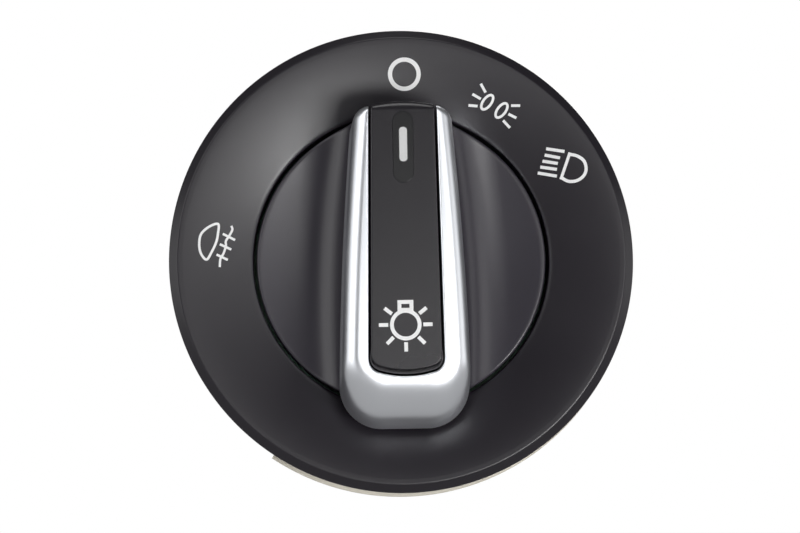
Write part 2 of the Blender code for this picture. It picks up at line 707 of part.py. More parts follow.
def make_grip_insert():
    """Cover strip whose upper end rolls over the end of the grip's core."""
    foot = GRIP_FOOT_Z
    back = INSERT_FRONT_Z - INSERT_THICKNESS
    nose = INSERT_NOSE
    roll = arc((GRIP_TOP_Y - nose, INSERT_FRONT_Z - nose), nose, 0, math.pi / 2, 5)
    profile = [(GRIP_TOP_Y, foot)] + roll
    profile += [(INSERT_LOW_Y - nose, INSERT_FRONT_Z), (INSERT_LOW_Y - nose, back)]
    profile += [(GRIP_TOP_Y - nose, back), (GRIP_TOP_Y - nose, foot)]
    insert = slab("grip_insert", profile, INSERT_WIDTH_LOW)
    plan = channel_outline(0.0, INSERT_LOW_Y, GRIP_TOP_Y + nose)
    boolean(insert, prism("insert_plan", plan, GRIP_FRONT_Z + nose, foot - nose), "INTERSECT")
    cut(insert, window_shape("window_hole", LENS_LINE, GRIP_FRONT_Z, back - GAP))
    return finish(insert, PLASTIC["black"], 0.35)


def window_shape(name, widen, front, rear):
    """Long hole with round ends for the indicator window."""
    radius = WINDOW_WIDTH / 2 + widen
    reach = (WINDOW_LENGTH - WINDOW_WIDTH) / 2
    outline = arc((0, WINDOW_Y + reach), radius, 0, math.pi, 8)
    outline += arc((0, WINDOW_Y - reach), radius, math.pi, math.tau, 8)
    return prism(name, outline, front, rear)


def make_window():
    back = INSERT_FRONT_Z - INSERT_THICKNESS
    lens = window_shape("indicator_lens", 0.0, INSERT_FRONT_Z, back)
    return finish(lens, (0.03, 0.03, 0.035), 0.2)


def make_knob_body():
    """Scooped disc, grip core and square stem, moulded as one."""
    reach = KNOB_RADIUS - KNOB_EDGE
    edge = arc((reach, KNOB_FACE_Z - KNOB_EDGE), KNOB_EDGE, math.pi / 2, 0, 2)
    dish = [(reach * share, face_z(reach * share)) for share in (0.0, 0.6, 0.8, 0.9)]
    profile = [(0.0, CAVITY_Z)] + dish + edge
    profile += [(KNOB_RADIUS, KNOB_SKIRT_Z), (KNOB_RADIUS - KNOB_SKIRT_WALL, KNOB_SKIRT_Z)]
    profile += [(KNOB_RADIUS - KNOB_SKIRT_WALL, CAVITY_Z)]
    knob = turned("knob_body", profile, FINE)
    ridge = make_ridge()
    boolean(ridge, peg("ridge_limit", 0, 0, reach, GRIP_FRONT_Z, CAVITY_Z, FINE), "INTERSECT")
    core_low = INSERT_LOW_Y - TRIM_LOW_LINE + GAP
    core_top = GRIP_TOP_Y - INSERT_NOSE - GAP
    line = TRIM_LINE - GAP
    root = CAVITY_Z + GAP
    core = prism("grip_core", channel_outline(line, core_low, core_top), CORE_FRONT_Z, KNOB_FACE_Z)
    half = STEM_WIDTH / 2
    stem = prism("stem", rounded_square(half, STEM_CORNER), root, NECK_FRONT)
    neck = peg("stem_neck", 0, 0, STEM_NECK_RADIUS, NECK_FRONT + GAP, NECK_REAR - GAP, 24)
    head = peg("stem_head", 0, 0, STEM_HEAD_RADIUS, NECK_REAR, STEM_END, 24)
    join(knob, ridge, core, stem, neck, head)
    bore = peg("stem_bore", 0, 0, STEM_BORE_RADIUS, CAVITY_Z, STEM_END - GAP, 16)
    window_half = (WINDOW_WIDTH / 2, WINDOW_LENGTH / 2)
    window_duct = box(
        "window_duct",
        (-window_half[0], WINDOW_Y - window_half[1], CAVITY_Z - GAP),
        (window_half[0], WINDOW_Y + window_half[1] - INSERT_NOSE, GRIP_FRONT_Z),
    )
    lamp_duct = peg(
        "lamp_duct", 0, LAMP_SIGN_Y, LAMP_FINGER_RADIUS + GAP, GRIP_FRONT_Z, CAVITY_Z - GAP, 24
    )
    cut(knob, bore, window_duct, lamp_duct)
    return finish(knob, PLASTIC["black"], 0.4)


def rounded_square(half, radius):
    inner = half - radius
    outline = []
    for quarter in range(4):
        start = quarter * math.pi / 2
        corner = (inner * (1, -1, -1, 1)[quarter], inner * (1, 1, -1, -1)[quarter])
        outline += arc(corner, radius, start, start + math.pi / 2, 3)
    return outline


def make_ridge():
    """Hump under the grip: hollow fillets that run from the disc's dished face up to the trim's foot."""
    sections = []
    stations = 8
    top = KNOB_FACE_Z + SCOOP_RISE
    for i in range(stations + 1):
        y = (KNOB_RADIUS + KNOB_EDGE) * (1 - 2 * i / stations)
        half = grip_half_width(y) - GRIP_DRAFT / 2
        fillet = []
        for j in range(6):
            lean = math.radians(90 * j / 5)
            out = half + SCOOP_RUN * (1 - math.sin(lean))
            foot = face_z(math.hypot(out, y))
            fillet.append((out, y, top - (top - foot) * math.cos(lean)))
        right = [(half + SCOOP_RUN, y, CAVITY_Z + GAP)] + fillet
        left = [(-x, y, z) for x, y, z in reversed(right)]
        sections.append(right + left)
    return loft("scoop_ridge", sections)


def make_light_pipe():
    """Clear ring inside the knob, with one finger to the window and one to the lamp sign."""
    ring_top = PIPE_RING_Z + PIPE_RING_THICKNESS
    overlap = PIPE_RING_THICKNESS / 2
    pipe = ring("light_pipe", PIPE_RING_INNER, PIPE_RING_OUTER, ring_top, PIPE_RING_Z)
    finger_top = CORE_FRONT_Z - GAP
    window_finger = box(
        "window_finger",
        (-WINDOW_WIDTH / 2 + GAP, WINDOW_Y - WINDOW_LENGTH / 2 + GAP, ring_top - overlap),
        (WINDOW_WIDTH / 2 - GAP, PIPE_RING_OUTER - GAP, finger_top),
    )
    foot_half = LAMP_FINGER_RADIUS * 0.85
    lamp_foot = box(
        "lamp_finger_foot",
        (-foot_half, LAMP_SIGN_Y - LAMP_FINGER_RADIUS * 0.5, ring_top - overlap),
        (foot_half, -PIPE_RING_INNER, CAVITY_Z + 2 * GAP + overlap),
    )
    lamp_finger = peg(
        "lamp_finger", 0, LAMP_SIGN_Y, LAMP_FINGER_RADIUS, finger_top, CAVITY_Z + 2 * GAP, 24
    )
    join(pipe, window_finger, lamp_foot, lamp_finger)
    return finish(pipe, (0.85, 0.88, 0.9), 0.05, alpha=0.4)


def helix(radius, low, high, turns, start=0.0, steps=COARSE):
    count = int(turns * steps)
    points = []
    for i in range(count + 1):
        place = polar(radius, start + math.tau * i / steps)
        points.append(Vector((place.x, place.y, low + (high - low) * i / count)))
    return points


def make_return_spring():
    half = RETURN_WIRE / 2
    low = ROTOR_FRONT_Z + GAP + half
    high = CAVITY_Z - GAP - half
    spring = wire("return_spring", helix(RETURN_RADIUS, low, high, RETURN_TURNS), RETURN_WIRE)
    return finish_wire(spring)


# Housing, guide plate and latch


def make_housing():
    front = SEAT_RECESS - GAP
    profile = [
        (HOUSING_BORE, front),
        (HOUSING_RADIUS, front),
        (HOUSING_RADIUS, SHOULDER_REAR + HOUSING_SHOULDER / 2),
        (HOUSING_RADIUS - HOUSING_SHOULDER / 2, SHOULDER_REAR),
        (HOUSING_TAIL_RADIUS, SHOULDER_REAR),
        (HOUSING_TAIL_RADIUS, HOUSING_END),
        (TAIL_BORE, HOUSING_END),
        (TAIL_BORE, SHOULDER_FRONT),
        (HOUSING_BORE, SHOULDER_FRONT),
    ]
    housing = turned("housing", profile, MIDDLING)
    shoulder = SHOULDER_REAR + HOUSING_SHOULDER / 2
    for i in range(GUSSET_COUNT):
        outer = HOUSING_RADIUS - HOUSING_SHOULDER
        gusset_profile = [
            (HOUSING_TAIL_RADIUS - HOUSING_TAIL_WALL / 2, shoulder),
            (outer, shoulder),
            (outer, SHOULDER_REAR - GUSSET_THICKNESS),
            (HOUSING_TAIL_RADIUS - HOUSING_TAIL_WALL / 2, SHOULDER_REAR - GUSSET_LENGTH),
        ]
        gusset = slab(f"gusset_{i}", gusset_profile, GUSSET_THICKNESS / 2)
        gusset.rotation_euler.z = math.tau * (i + 0.5) / GUSSET_COUNT
        join(housing, gusset)
    for i, angle in enumerate(KEY_ANGLES):
        key = box(
            f"key_{i}",
            (HOUSING_RADIUS - HOUSING_WALL / 2, -KEY_WIDTH / 2, SHOULDER_REAR + HOUSING_SHOULDER),
            (HOUSING_RADIUS + KEY_REACH, KEY_WIDTH / 2, -2 * GAP),
            angle,
        )
        join(housing, key)
    for side in (0, 1):
        window = box(
            f"pawl_window_{side}",
            (HOUSING_BORE - HOUSING_WALL, -PAWL_WIDTH / 2 - RUNNING, PAWL_REAR - RUNNING),
            (HOUSING_RADIUS + HOUSING_WALL, PAWL_WIDTH / 2 + RUNNING, PAWL_FRONT + RUNNING),
            side * math.pi,
        )
        cut(housing, window)
    for i in range(LUG_COUNT):
        low = -CARRIER_SLEEVE_LENGTH
        window = box(
            f"lug_window_{i}",
            (HOUSING_BORE - HOUSING_WALL / 2, -LUG_WIDTH / 2 - GAP, low),
            (HOUSING_RADIUS + HOUSING_WALL, LUG_WIDTH / 2 + GAP, low + LUG_HEIGHT + 2 * GAP),
            lug_angle(i),
        )
        cut(housing, window)
    return finish(housing, PLASTIC["black"], 0.5)


def make_guide_plate():
    collar = COLLAR_RADIUS
    profile = [
        (ROTOR_BORE, PLATE_REAR),
        (PLATE_RADIUS, PLATE_REAR),
        (PLATE_RADIUS, PLATE_FRONT),
        (collar, PLATE_FRONT),
        (collar, CAM_FRONT),
        (ROTOR_BORE, CAM_FRONT),
    ]
    plate = turned("guide_plate", profile, MEDIUM)
    inner_x = CAM_RADIUS + 2 * RUNNING
    near = PAWL_WIDTH / 2 + RUNNING
    for side_x in (-1, 1):
        for side_y in (-1, 1):
            xs = sorted((side_x * inner_x, side_x * RAIL_OUTER_X))
            ys = sorted((side_y * near, side_y * (near + RAIL_THICKNESS)))
            rail = box(
                f"rail_{side_x + 1}_{side_y + 1}",
                (xs[0], ys[0], PLATE_REAR + PLATE_THICKNESS / 2),
                (xs[1], ys[1], PAWL_FRONT),
            )
            join(plate, rail)
    at = polar(CAM_SPRING_POST_AT, CAM_SPRING_ANGLE)
    post = peg("spring_post", at.x, at.y, CAM_SPRING_POST_RADIUS, CAM_FRONT, PLATE_REAR + PLATE_THICKNESS / 2)
    join(plate, post)
    return finish(plate, (0.1, 0.1, 0.105), 0.5)


def make_cam():
    """Ring with a lug for its spring and two spiral slots: the pins move by the same amount each degree."""
    cam = ring("release_cam", CAM_BORE, CAM_RADIUS, CAM_FRONT, CAM_REAR)
    lug = prism(
        "cam_lug",
        sector(
            CAM_RADIUS - CAM_LUG_REACH / 2,
            CAM_RADIUS + CAM_LUG_REACH,
            math.pi / 2 - CAM_LUG_HALF_ANGLE,
            math.pi / 2 + CAM_LUG_HALF_ANGLE,
            3,
        ),
        CAM_FRONT,
        CAM_REAR,
    )
    join(cam, lug)
    for side in (0, 1):
        cut(cam, make_spiral_slot(f"spiral_slot_{side}", side * math.pi))
    return finish(cam, (0.75, 0.75, 0.72), 0.45)


def make_spiral_slot(name, turn):
    radius = SLOT_HALF_WIDTH
    rate = PAWL_TRAVEL / RELEASE_TURN
    steps = 8
    center = []
    for i in range(steps + 1):
        angle = RELEASE_TURN * i / steps
        center.append(polar(PAWL_PIN_X - rate * angle, turn + angle))
    outer = []
    inner = []
    for i, point in enumerate(center):
        ahead = center[min(i + 1, steps)] - center[max(i - 1, 0)]
        side = Vector((ahead.y, -ahead.x, 0)).normalized() * radius
        outer.append((point + side).xy)
        inner.append((point - side).xy)
    first = center[1] - center[0]
    last = center[-1] - center[-2]
    start_angle = math.atan2(first.y, first.x)
    end_angle = math.atan2(last.y, last.x)
    end_cap = arc(center[-1], radius, end_angle - math.pi / 2, end_angle + math.pi / 2, 6)[1:-1]
    start_cap = arc(center[0], radius, start_angle + math.pi / 2, start_angle + math.pi * 1.5, 6)[1:-1]
    outline = [tuple(point) for point in outer] + end_cap + [tuple(p) for p in reversed(inner)] + start_cap
    return prism(name, outline, CAM_FRONT + GAP, CAM_REAR - GAP)


def make_pawl(name, side):
    """Sliding latch with a ramped nose and a pin that runs in the cam's slot."""
    inner = PAWL_PIN_X - PAWL_TAIL
    outer = HOUSING_RADIUS + PAWL_REACH
    half = PAWL_WIDTH / 2
    corner = PAWL_RAMP / 2
    profile = [
        (inner, PAWL_FRONT),
        (outer, PAWL_FRONT),
        (outer, PAWL_FRONT - PAWL_THICKNESS / 3),
        (outer - PAWL_RAMP, PAWL_REAR),
        (inner, PAWL_REAR),
    ]
    pawl = slab(name, profile, half)
    pawl.rotation_euler.z = -side * math.pi / 2
    limit = prism(
        f"{name}_plan",
        [
            (inner - corner, -half - corner),
            (outer - corner, -half - corner),
            (outer + corner, -half + 2 * corner),
            (outer + corner, half - 2 * corner),
            (outer - corner, half + corner),
            (inner - corner, half + corner),
        ],
        PAWL_FRONT + corner,
        PAWL_REAR - corner,
    )
    limit.parent = pawl
    limit.rotation_euler.z = math.pi / 2
    boolean(pawl, limit, "INTERSECT")
    pin = peg(
        f"{name}_pin", 0, PAWL_PIN_X, PAWL_PIN_RADIUS, PAWL_REAR + PAWL_PIN_RADIUS, CAM_REAR + GAP / 2
    )
    pin.parent = pawl
    join(pawl, pin)
    return finish(pawl, (0.16, 0.16, 0.165), 0.4)


def make_cam_spring():
    """Torsion spring on its post: one leg on the cam's lug, the other on the housing wall."""
    center = polar(CAM_SPRING_POST_AT, CAM_SPRING_ANGLE)
    radius = CAM_SPRING_POST_RADIUS + GAP + CAM_SPRING_WIRE / 2
    low = CAM_REAR + CAM_SPRING_WIRE / 2
    high = CAM_FRONT - CAM_SPRING_WIRE / 2
    coil = []
    count = int(CAM_SPRING_TURNS * 12)
    lug_side = math.pi / 2 + CAM_LUG_HALF_ANGLE
    lug_gap = (GAP + CAM_SPRING_WIRE / 2) / CAM_RADIUS
    tip = polar(CAM_RADIUS + CAM_LUG_REACH * 0.65, lug_side + lug_gap)
    toward = math.atan2(tip.y - center.y, tip.x - center.x)
    start = toward + math.pi / 2
    for i in range(count + 1):
        angle = start + math.tau * i / 12
        height = low + (high - low) * i / count
        coil.append(center + polar(radius, angle) + Vector((0, 0, height)))
    first = tip + Vector((0, 0, low))
    along = polar(1.0, start + math.tau * count / 12 + math.pi / 2)
    last = coil[-1] + along * CAM_SPRING_WIRE * 3
    return finish_wire(wire("cam_spring", [first] + coil + [last], CAM_SPRING_WIRE))


# Rotor and contacts


def make_rotor():
    profile = [
        (STEM_WIDTH / 4, BRIDGE_TIP),
        (ROTOR_RADIUS, BRIDGE_TIP),
        (ROTOR_RADIUS, DISC_REAR),
        (ROTOR_DISC_RADIUS, DISC_REAR),
        (ROTOR_DISC_RADIUS, DISC_FRONT),
        (ROTOR_RADIUS, DISC_FRONT),
        (ROTOR_RADIUS, ROTOR_FRONT_Z),
        (STEM_WIDTH / 4, ROTOR_FRONT_Z),
    ]
    rotor = turned("rotor", profile, MIDDLING)
    bore = rounded_square(STEM_WIDTH / 2 + RUNNING, STEM_CORNER)
    cut(rotor, prism("square_bore", bore, ROTOR_FRONT_Z + GAP, BRIDGE_TIP - GAP))
    bottom = ROTOR_DISC_RADIUS - NOTCH_DEPTH
    mouth = ROTOR_DISC_RADIUS + NOTCH_DEPTH
    for i in range(KNOB_POSITIONS):
        outline = [(0, bottom), (2 * NOTCH_HALF_WIDTH, mouth), (-2 * NOTCH_HALF_WIDTH, mouth)]
        notch = prism(f"notch_{i}", outline, DISC_FRONT + GAP / 2, DISC_REAR - GAP / 2)
        notch.rotation_euler.z = i * KNOB_STEP
        cut(rotor, notch)
    return finish(rotor, (0.72, 0.72, 0.7), 0.5)


def make_detent_spring():
    """Leaf spring over the rotor's rim, with a V that sits in a notch."""
    tip = ROTOR_DISC_RADIUS - NOTCH_DEPTH + GAP + DETENT_STRIP / 2
    crest = ROTOR_DISC_RADIUS + DETENT_STRIP
    path = [
        (-DETENT_HALF_LENGTH, crest),
        (-NOTCH_HALF_WIDTH * 1.25, crest),
        (0, tip),
        (NOTCH_HALF_WIDTH * 1.25, crest),
        (DETENT_HALF_LENGTH, crest),
    ]
    half = DETENT_STRIP / 2
    outline = [(x, y - half) for x, y in path] + [(x, y + half) for x, y in reversed(path)]
    spring = prism("detent_spring", outline, DISC_FRONT, DISC_REAR)
    return finish(spring, (0.6, 0.6, 0.6), 0.3, 1.0)


def make_bridges():
    """Copper strips on the rotor's rear, each with a dome over two tracks."""
    for number, angle in enumerate(BRIDGE_ANGLES, start=1):
        strip = box(
            f"contact_bridge_{number}",
            (INNER_TRACK - BRIDGE_WIDTH / 2, -BRIDGE_WIDTH / 2, BRIDGE_FRONT - BRIDGE_STRIP),
            (OUTER_TRACK + BRIDGE_END, BRIDGE_WIDTH / 2, BRIDGE_FRONT),
        )
        strip.rotation_euler.z = angle
        for end, radius in (("inner", INNER_TRACK), ("outer", OUTER_TRACK)):
            wide = BRIDGE_WIDTH / 3
            profile = [
                (0.0, BRIDGE_TIP),
                (wide / 3, BRIDGE_TIP),
                (wide * 0.8, BRIDGE_TIP + BRIDGE_STRIP),
                (wide, BRIDGE_FRONT - BRIDGE_STRIP / 2),
                (0.0, BRIDGE_FRONT - BRIDGE_STRIP / 2),
            ]
            dome = turned(f"dome_{number}_{end}", profile, 12)
            dome.location.x = radius
            dome.parent = strip
            join(strip, dome)
        finish(strip, (0.78, 0.45, 0.28), 0.3, 1.0)


def make_tracks():
    half = TRACK_WIDTH / 2
    for name, (radius, start, end) in TRACKS.items():
        outline = sector(radius - half, radius + half, start, end, 20)
        track = prism(f"contact_track_{name}", outline, TRACK_FRONT, TRACK_REAR)
        finish(track, (0.8, 0.5, 0.3), 0.3, 1.0)


def make_terminal_base():
    stem_reach = STEM_WIDTH / 2 * math.sqrt(2) - STEM_CORNER * (math.sqrt(2) - 1)
    base = ring("terminal_base", stem_reach + RUNNING, TAIL_BORE - GAP, BASE_FRONT, BASE_REAR)
    post = peg("guide_post", 0, POST_Y, POST_RADIUS, BASE_REAR + BASE_THICKNESS / 2, HOUSING_END)
    return finish(join(base, post), (0.32, 0.2, 0.12), 0.5)


def make_fog_slider():
    """Fork that follows the groove in the knob's stem, and the contact it carries."""
    slot = STEM_NECK_RADIUS + RUNNING
    outline = [(SLIDER_HALF_WIDTH, SLIDER_FORK_Y), (SLIDER_HALF_WIDTH, SLIDER_TOP_Y)]
    outline += [(-SLIDER_HALF_WIDTH, SLIDER_TOP_Y), (-SLIDER_HALF_WIDTH, SLIDER_FORK_Y)]
    outline += [(-slot, SLIDER_FORK_Y)] + arc((0, 0), slot, math.pi, 0, 12) + [(slot, SLIDER_FORK_Y)]
    slider = prism("fog_slider", outline, SLIDER_FRONT, SLIDER_REAR)
    hole = peg("post_hole", 0, POST_Y, POST_RADIUS + RUNNING, SLIDER_FRONT + GAP, SLIDER_REAR - GAP)
    finish(cut(slider, hole), (0.7, 0.7, 0.68), 0.5)
    strip_y = SLIDER_TOP_Y + GAP
    crest = SLIDER_REAR + SLIDER_THICKNESS / 3
    tail = SLIDER_REAR - SLIDER_THICKNESS
    profile = [
        (strip_y, SLIDER_FRONT),
        (strip_y, crest - SLIDER_THICKNESS / 3),
        (strip_y + FOG_STRIP, crest - SLIDER_THICKNESS),
        (strip_y, tail),
        (strip_y + FOG_STRIP, tail),
        (strip_y + 2 * FOG_STRIP, crest - SLIDER_THICKNESS),
        (strip_y + FOG_STRIP, crest - SLIDER_THICKNESS / 3),
        (strip_y + FOG_STRIP, SLIDER_FRONT),
    ]
    contact = slab("fog_contact", profile, FOG_STRIP_HALF_WIDTH)
    finish(contact, (0.78, 0.45, 0.28), 0.3, 1.0)
    track_y = strip_y + 2 * FOG_STRIP + GAP
    track = box(
        "fog_track",
        (-FOG_STRIP_HALF_WIDTH, track_y, HOUSING_END),
        (FOG_STRIP_HALF_WIDTH, track_y + FOG_STRIP, BASE_REAR - GAP),
    )
    finish(track, (0.8, 0.5, 0.3), 0.3, 1.0)


# Rear cover and connector


def pin_places():
    for row in (1, -1):
        for column in range(PIN_COLUMNS):
            x = (column - (PIN_COLUMNS - 1) / 2) * PIN_PITCH
            yield x, CONNECTOR_Y + row * PIN_ROW_SPACING / 2


def make_rear_cover():
    spigot = TAIL_BORE - GAP
    profile = [
        (0.0, COVER_REAR),
        (HOUSING_TAIL_RADIUS, COVER_REAR),
        (HOUSING_TAIL_RADIUS, COVER_FRONT),
        (spigot, COVER_FRONT),
        (spigot, COVER_FRONT + SPIGOT_LENGTH),
        (spigot - SPIGOT_WALL, COVER_FRONT + SPIGOT_LENGTH),
        (spigot - SPIGOT_WALL, COVER_FRONT),
        (0.0, COVER_FRONT),
    ]
    cover = turned("rear_cover", profile, MIDDLING)
    shroud = box(
        "shroud",
        (-SHROUD_HALF_WIDTH, CONNECTOR_Y - SHROUD_HALF_HEIGHT, SHROUD_END),
        (SHROUD_HALF_WIDTH, CONNECTOR_Y + SHROUD_HALF_HEIGHT, COVER_REAR + COVER_THICKNESS / 2),
    )
    latch_profile = [
        (CONNECTOR_Y + SHROUD_HALF_HEIGHT - SHROUD_WALL / 2, SHROUD_END + SHROUD_WALL),
        (CONNECTOR_Y + SHROUD_HALF_HEIGHT + SHROUD_WALL, SHROUD_END + 2 * SHROUD_WALL),
        (CONNECTOR_Y + SHROUD_HALF_HEIGHT + SHROUD_WALL, SHROUD_END + 3 * SHROUD_WALL),
        (CONNECTOR_Y + SHROUD_HALF_HEIGHT - SHROUD_WALL / 2, SHROUD_END + 3 * SHROUD_WALL),
    ]
    latch = slab("shroud_latch", latch_profile, 2 * SHROUD_WALL)
    join(cover, shroud, latch)
    inner = (SHROUD_HALF_WIDTH - SHROUD_WALL, SHROUD_HALF_HEIGHT - SHROUD_WALL)
    socket = box(
        "socket",
        (-inner[0], CONNECTOR_Y - inner[1], SHROUD_END - SHROUD_WALL),
        (inner[0], CONNECTOR_Y + inner[1], COVER_REAR),
    )
    cut(cover, socket)
    for number, (x, y) in enumerate(pin_places(), start=1):
        hole = box(
            f"pin_hole_{number}",
            (x - PIN_WIDTH / 2 - GAP, y - PIN_THICKNESS / 2 - GAP, COVER_REAR - GAP),
            (x + PIN_WIDTH / 2 + GAP, y + PIN_THICKNESS / 2 + GAP, COVER_FRONT + GAP),
        )
        cut(cover, hole)
    return finish(cover, (0.03, 0.03, 0.032), 0.5)


def make_pins():
    """Blades with tapered tips, from the terminal base through the cover into the socket."""
    for number, (x, y) in enumerate(pin_places(), start=1):
        tip = COVER_REAR - PIN_STAND
        sections = []
        for z, share in ((BASE_REAR - GAP, 1.0), (tip + PIN_WIDTH, 1.0), (tip, 0.4)):
            half_w = PIN_WIDTH / 2 * share
            half_t = PIN_THICKNESS / 2 * share
            sections.append(rectangle(half_w, half_t, z))
        pin = loft(f"terminal_pin_{number}", sections)
        pin.location = (x, y, 0)
        finish(pin, (0.75, 0.74, 0.7), 0.25, 1.0)


def make_axes():
    """The switch's axis, and the knob's, which leans by the play of its stem in the rotor."""
    switch_axis = bpy.data.objects.new("switch_axis", None)
    switch_axis.rotation_euler.x = math.pi / 2
    knob_axis = bpy.data.objects.new("knob_axis", None)
    knob_axis.parent = switch_axis
    knob_axis.rotation_euler.z = KNOB_LEAN
    for axis in (switch_axis, knob_axis):
        bpy.context.collection.objects.link(axis)


clear_scene()
make_axes()

make_bezel()
make_carrier()
make_diffuser()
make_board()

AXIS["current"] = "knob_axis"
make_knob_body()
make_grip_trim()
make_grip_insert()
make_window()
make_light_pipe()

AXIS["current"] = "switch_axis"
make_return_spring()
make_housing()
make_guide_plate()
make_cam()
make_cam_spring()
make_pawl("pawl_right", 1)
make_pawl("pawl_left", -1)
make_rotor()
make_detent_spring()
make_bridges()
make_tracks()
make_terminal_base()
make_fog_slider()
make_rear_cover()
make_pins()
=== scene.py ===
"""Looks of the rotary headlight switch: dished bezel with white signs, scooped knob with a satin U-shaped
trim, and the mouldings, latches and connector behind the panel.
"""
import json
import math

import bmesh
import bpy
from mathutils import Matrix, Vector

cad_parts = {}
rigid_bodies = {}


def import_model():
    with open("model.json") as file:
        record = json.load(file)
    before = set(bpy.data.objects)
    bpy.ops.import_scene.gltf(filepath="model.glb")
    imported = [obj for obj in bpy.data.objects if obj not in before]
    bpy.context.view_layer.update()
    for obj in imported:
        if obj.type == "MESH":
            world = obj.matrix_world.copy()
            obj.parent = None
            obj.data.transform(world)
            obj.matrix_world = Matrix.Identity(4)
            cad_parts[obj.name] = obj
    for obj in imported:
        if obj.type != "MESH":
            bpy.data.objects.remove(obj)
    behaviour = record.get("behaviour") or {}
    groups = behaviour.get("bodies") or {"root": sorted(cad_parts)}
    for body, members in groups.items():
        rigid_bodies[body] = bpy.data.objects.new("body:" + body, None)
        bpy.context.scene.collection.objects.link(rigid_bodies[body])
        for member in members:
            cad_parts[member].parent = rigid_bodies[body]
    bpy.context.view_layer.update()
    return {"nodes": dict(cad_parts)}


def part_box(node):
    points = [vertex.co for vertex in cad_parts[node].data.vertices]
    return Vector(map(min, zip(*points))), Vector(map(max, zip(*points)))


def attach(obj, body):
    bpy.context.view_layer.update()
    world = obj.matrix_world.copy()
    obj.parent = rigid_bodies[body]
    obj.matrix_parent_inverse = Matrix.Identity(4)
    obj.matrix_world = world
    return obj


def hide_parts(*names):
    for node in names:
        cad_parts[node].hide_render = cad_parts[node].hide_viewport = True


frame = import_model()
nodes = frame["nodes"]

# Camera and stage
# The switch hangs above a pale floor, seen from the front, a little from below and from the left.
# To the camera the room is white and the floor nearly so. Both are dim in gloss. The floor holds a shadow.

MM = 0.001
RIM_CENTER = Vector((0.0, -11.0 * MM, 0.0))
CAMERA_DISTANCE = 400 * MM
CAMERA_LEFT = math.radians(1.9)
CAMERA_BELOW = math.radians(5.3)
CAMERA_LENS = 119.775
SENSOR_WIDTH = 36
CLIP_START = 0.02
PHOTO_WIDTH = 800
CENTER_OFFSET = (1.889, 7.05)
FLOOR_Z = -160 * MM
FLOOR_HALF = 12.0
FLOOR_GLOW = 0.88
FLOOR_GLOSS_GLOW = 0.06
FLOOR_PAINT = (0.55, 0.55, 0.55, 1.0)


class Shade:
    """A socket of a node tree. Sums written with it add Math nodes, and node() adds any other node."""

    def __init__(self, tree, socket=None):
        self.tree = tree
        self.socket = socket

    def node(self, kind, settings=None, inputs=None, output=0):
        made = self.tree.nodes.new(kind)
        for name, value in (settings or {}).items():
            setattr(made, name, value)
        for name, value in (inputs or {}).items():
            if isinstance(value, Shade):
                self.tree.links.new(value.socket, made.inputs[name])
            else:
                made.inputs[name].default_value = value
        return Shade(self.tree, made.outputs[output])

    def sum(self, operation, first, second):
        return self.node("ShaderNodeMath", {"operation": operation}, {0: first, 1: second})

    def __add__(self, other):
        return self.sum("ADD", self, other)

    def __radd__(self, other):
        return self.sum("ADD", other, self)

    def __sub__(self, other):
        return self.sum("SUBTRACT", self, other)

    def __rsub__(self, other):
        return self.sum("SUBTRACT", other, self)

    def __mul__(self, other):
        return self.sum("MULTIPLY", self, other)

    def __rmul__(self, other):
        return self.sum("MULTIPLY", other, self)

    def end(self, kind, name="Surface"):
        """Lead this socket into the tree's output node."""
        out = self.tree.nodes.new(kind)
        self.tree.links.new(self.socket, out.inputs[name])


def new_material(name):
    """An empty material and the start of its node tree."""
    material = bpy.data.materials.new(name)
    material.use_nodes = True
    material.node_tree.nodes.clear()
    return material, Shade(material.node_tree)


def ray_kind(start, *outputs):
    """1 for rays of any of the kinds that the Light Path outputs name, and 0 for all others."""
    kinds = [start.node("ShaderNodeLightPath", output=output) for output in outputs]
    found = kinds[0]
    for kind in kinds[1:]:
        found = start.sum("MAXIMUM", found, kind)
    return found


FROM_CAMERA = 0
FROM_GLOSS = 3
THROUGH_CLEAR = 6
WHITE = (1.0, 1.0, 1.0, 1.0)


def stage_white(name, share, gloss_share):
    """Pale paint that glows by a share towards the camera, and holds a shadow with the rest."""
    material, start = new_material(name)
    paint = start.node("ShaderNodeBsdfDiffuse", inputs={"Color": FLOOR_PAINT})
    glow = start.node("ShaderNodeEmission", inputs={"Color": WHITE, "Strength": 1.0})
    seen = ray_kind(start, FROM_CAMERA, THROUGH_CLEAR)
    mirrored = ray_kind(start, FROM_GLOSS)
    glowing = {0: share * seen + gloss_share * mirrored, 1: paint, 2: glow}
    start.node("ShaderNodeMixShader", inputs=glowing).end("ShaderNodeOutputMaterial")
    return material


floor_mesh = bpy.data.meshes.new("floor")
corners = [(x * FLOOR_HALF, y * FLOOR_HALF, FLOOR_Z) for x, y in ((-1, -1), (1, -1), (1, 1), (-1, 1))]
floor_mesh.from_pydata(corners, [], [(0, 1, 2, 3)])
floor_mesh.materials.append(stage_white("floor_white", FLOOR_GLOW, FLOOR_GLOSS_GLOW))
floor = bpy.data.objects.new("floor", floor_mesh)
bpy.context.collection.objects.link(floor)

WORLD_FILL = 0.08
WORLD_GLOSS = 0.12
world = bpy.data.worlds.new("studio")
world.use_nodes = True
bpy.context.scene.world = world
world.node_tree.nodes.clear()
room = Shade(world.node_tree)
seen = ray_kind(room, FROM_CAMERA, THROUGH_CLEAR)
mirrored = ray_kind(room, FROM_GLOSS)
room_strength = WORLD_FILL + (1 - WORLD_FILL) * seen + (WORLD_GLOSS - WORLD_FILL) * mirrored
room_light = room.node("ShaderNodeBackground", inputs={"Color": WHITE, "Strength": room_strength})
room_light.end("ShaderNodeOutputWorld")

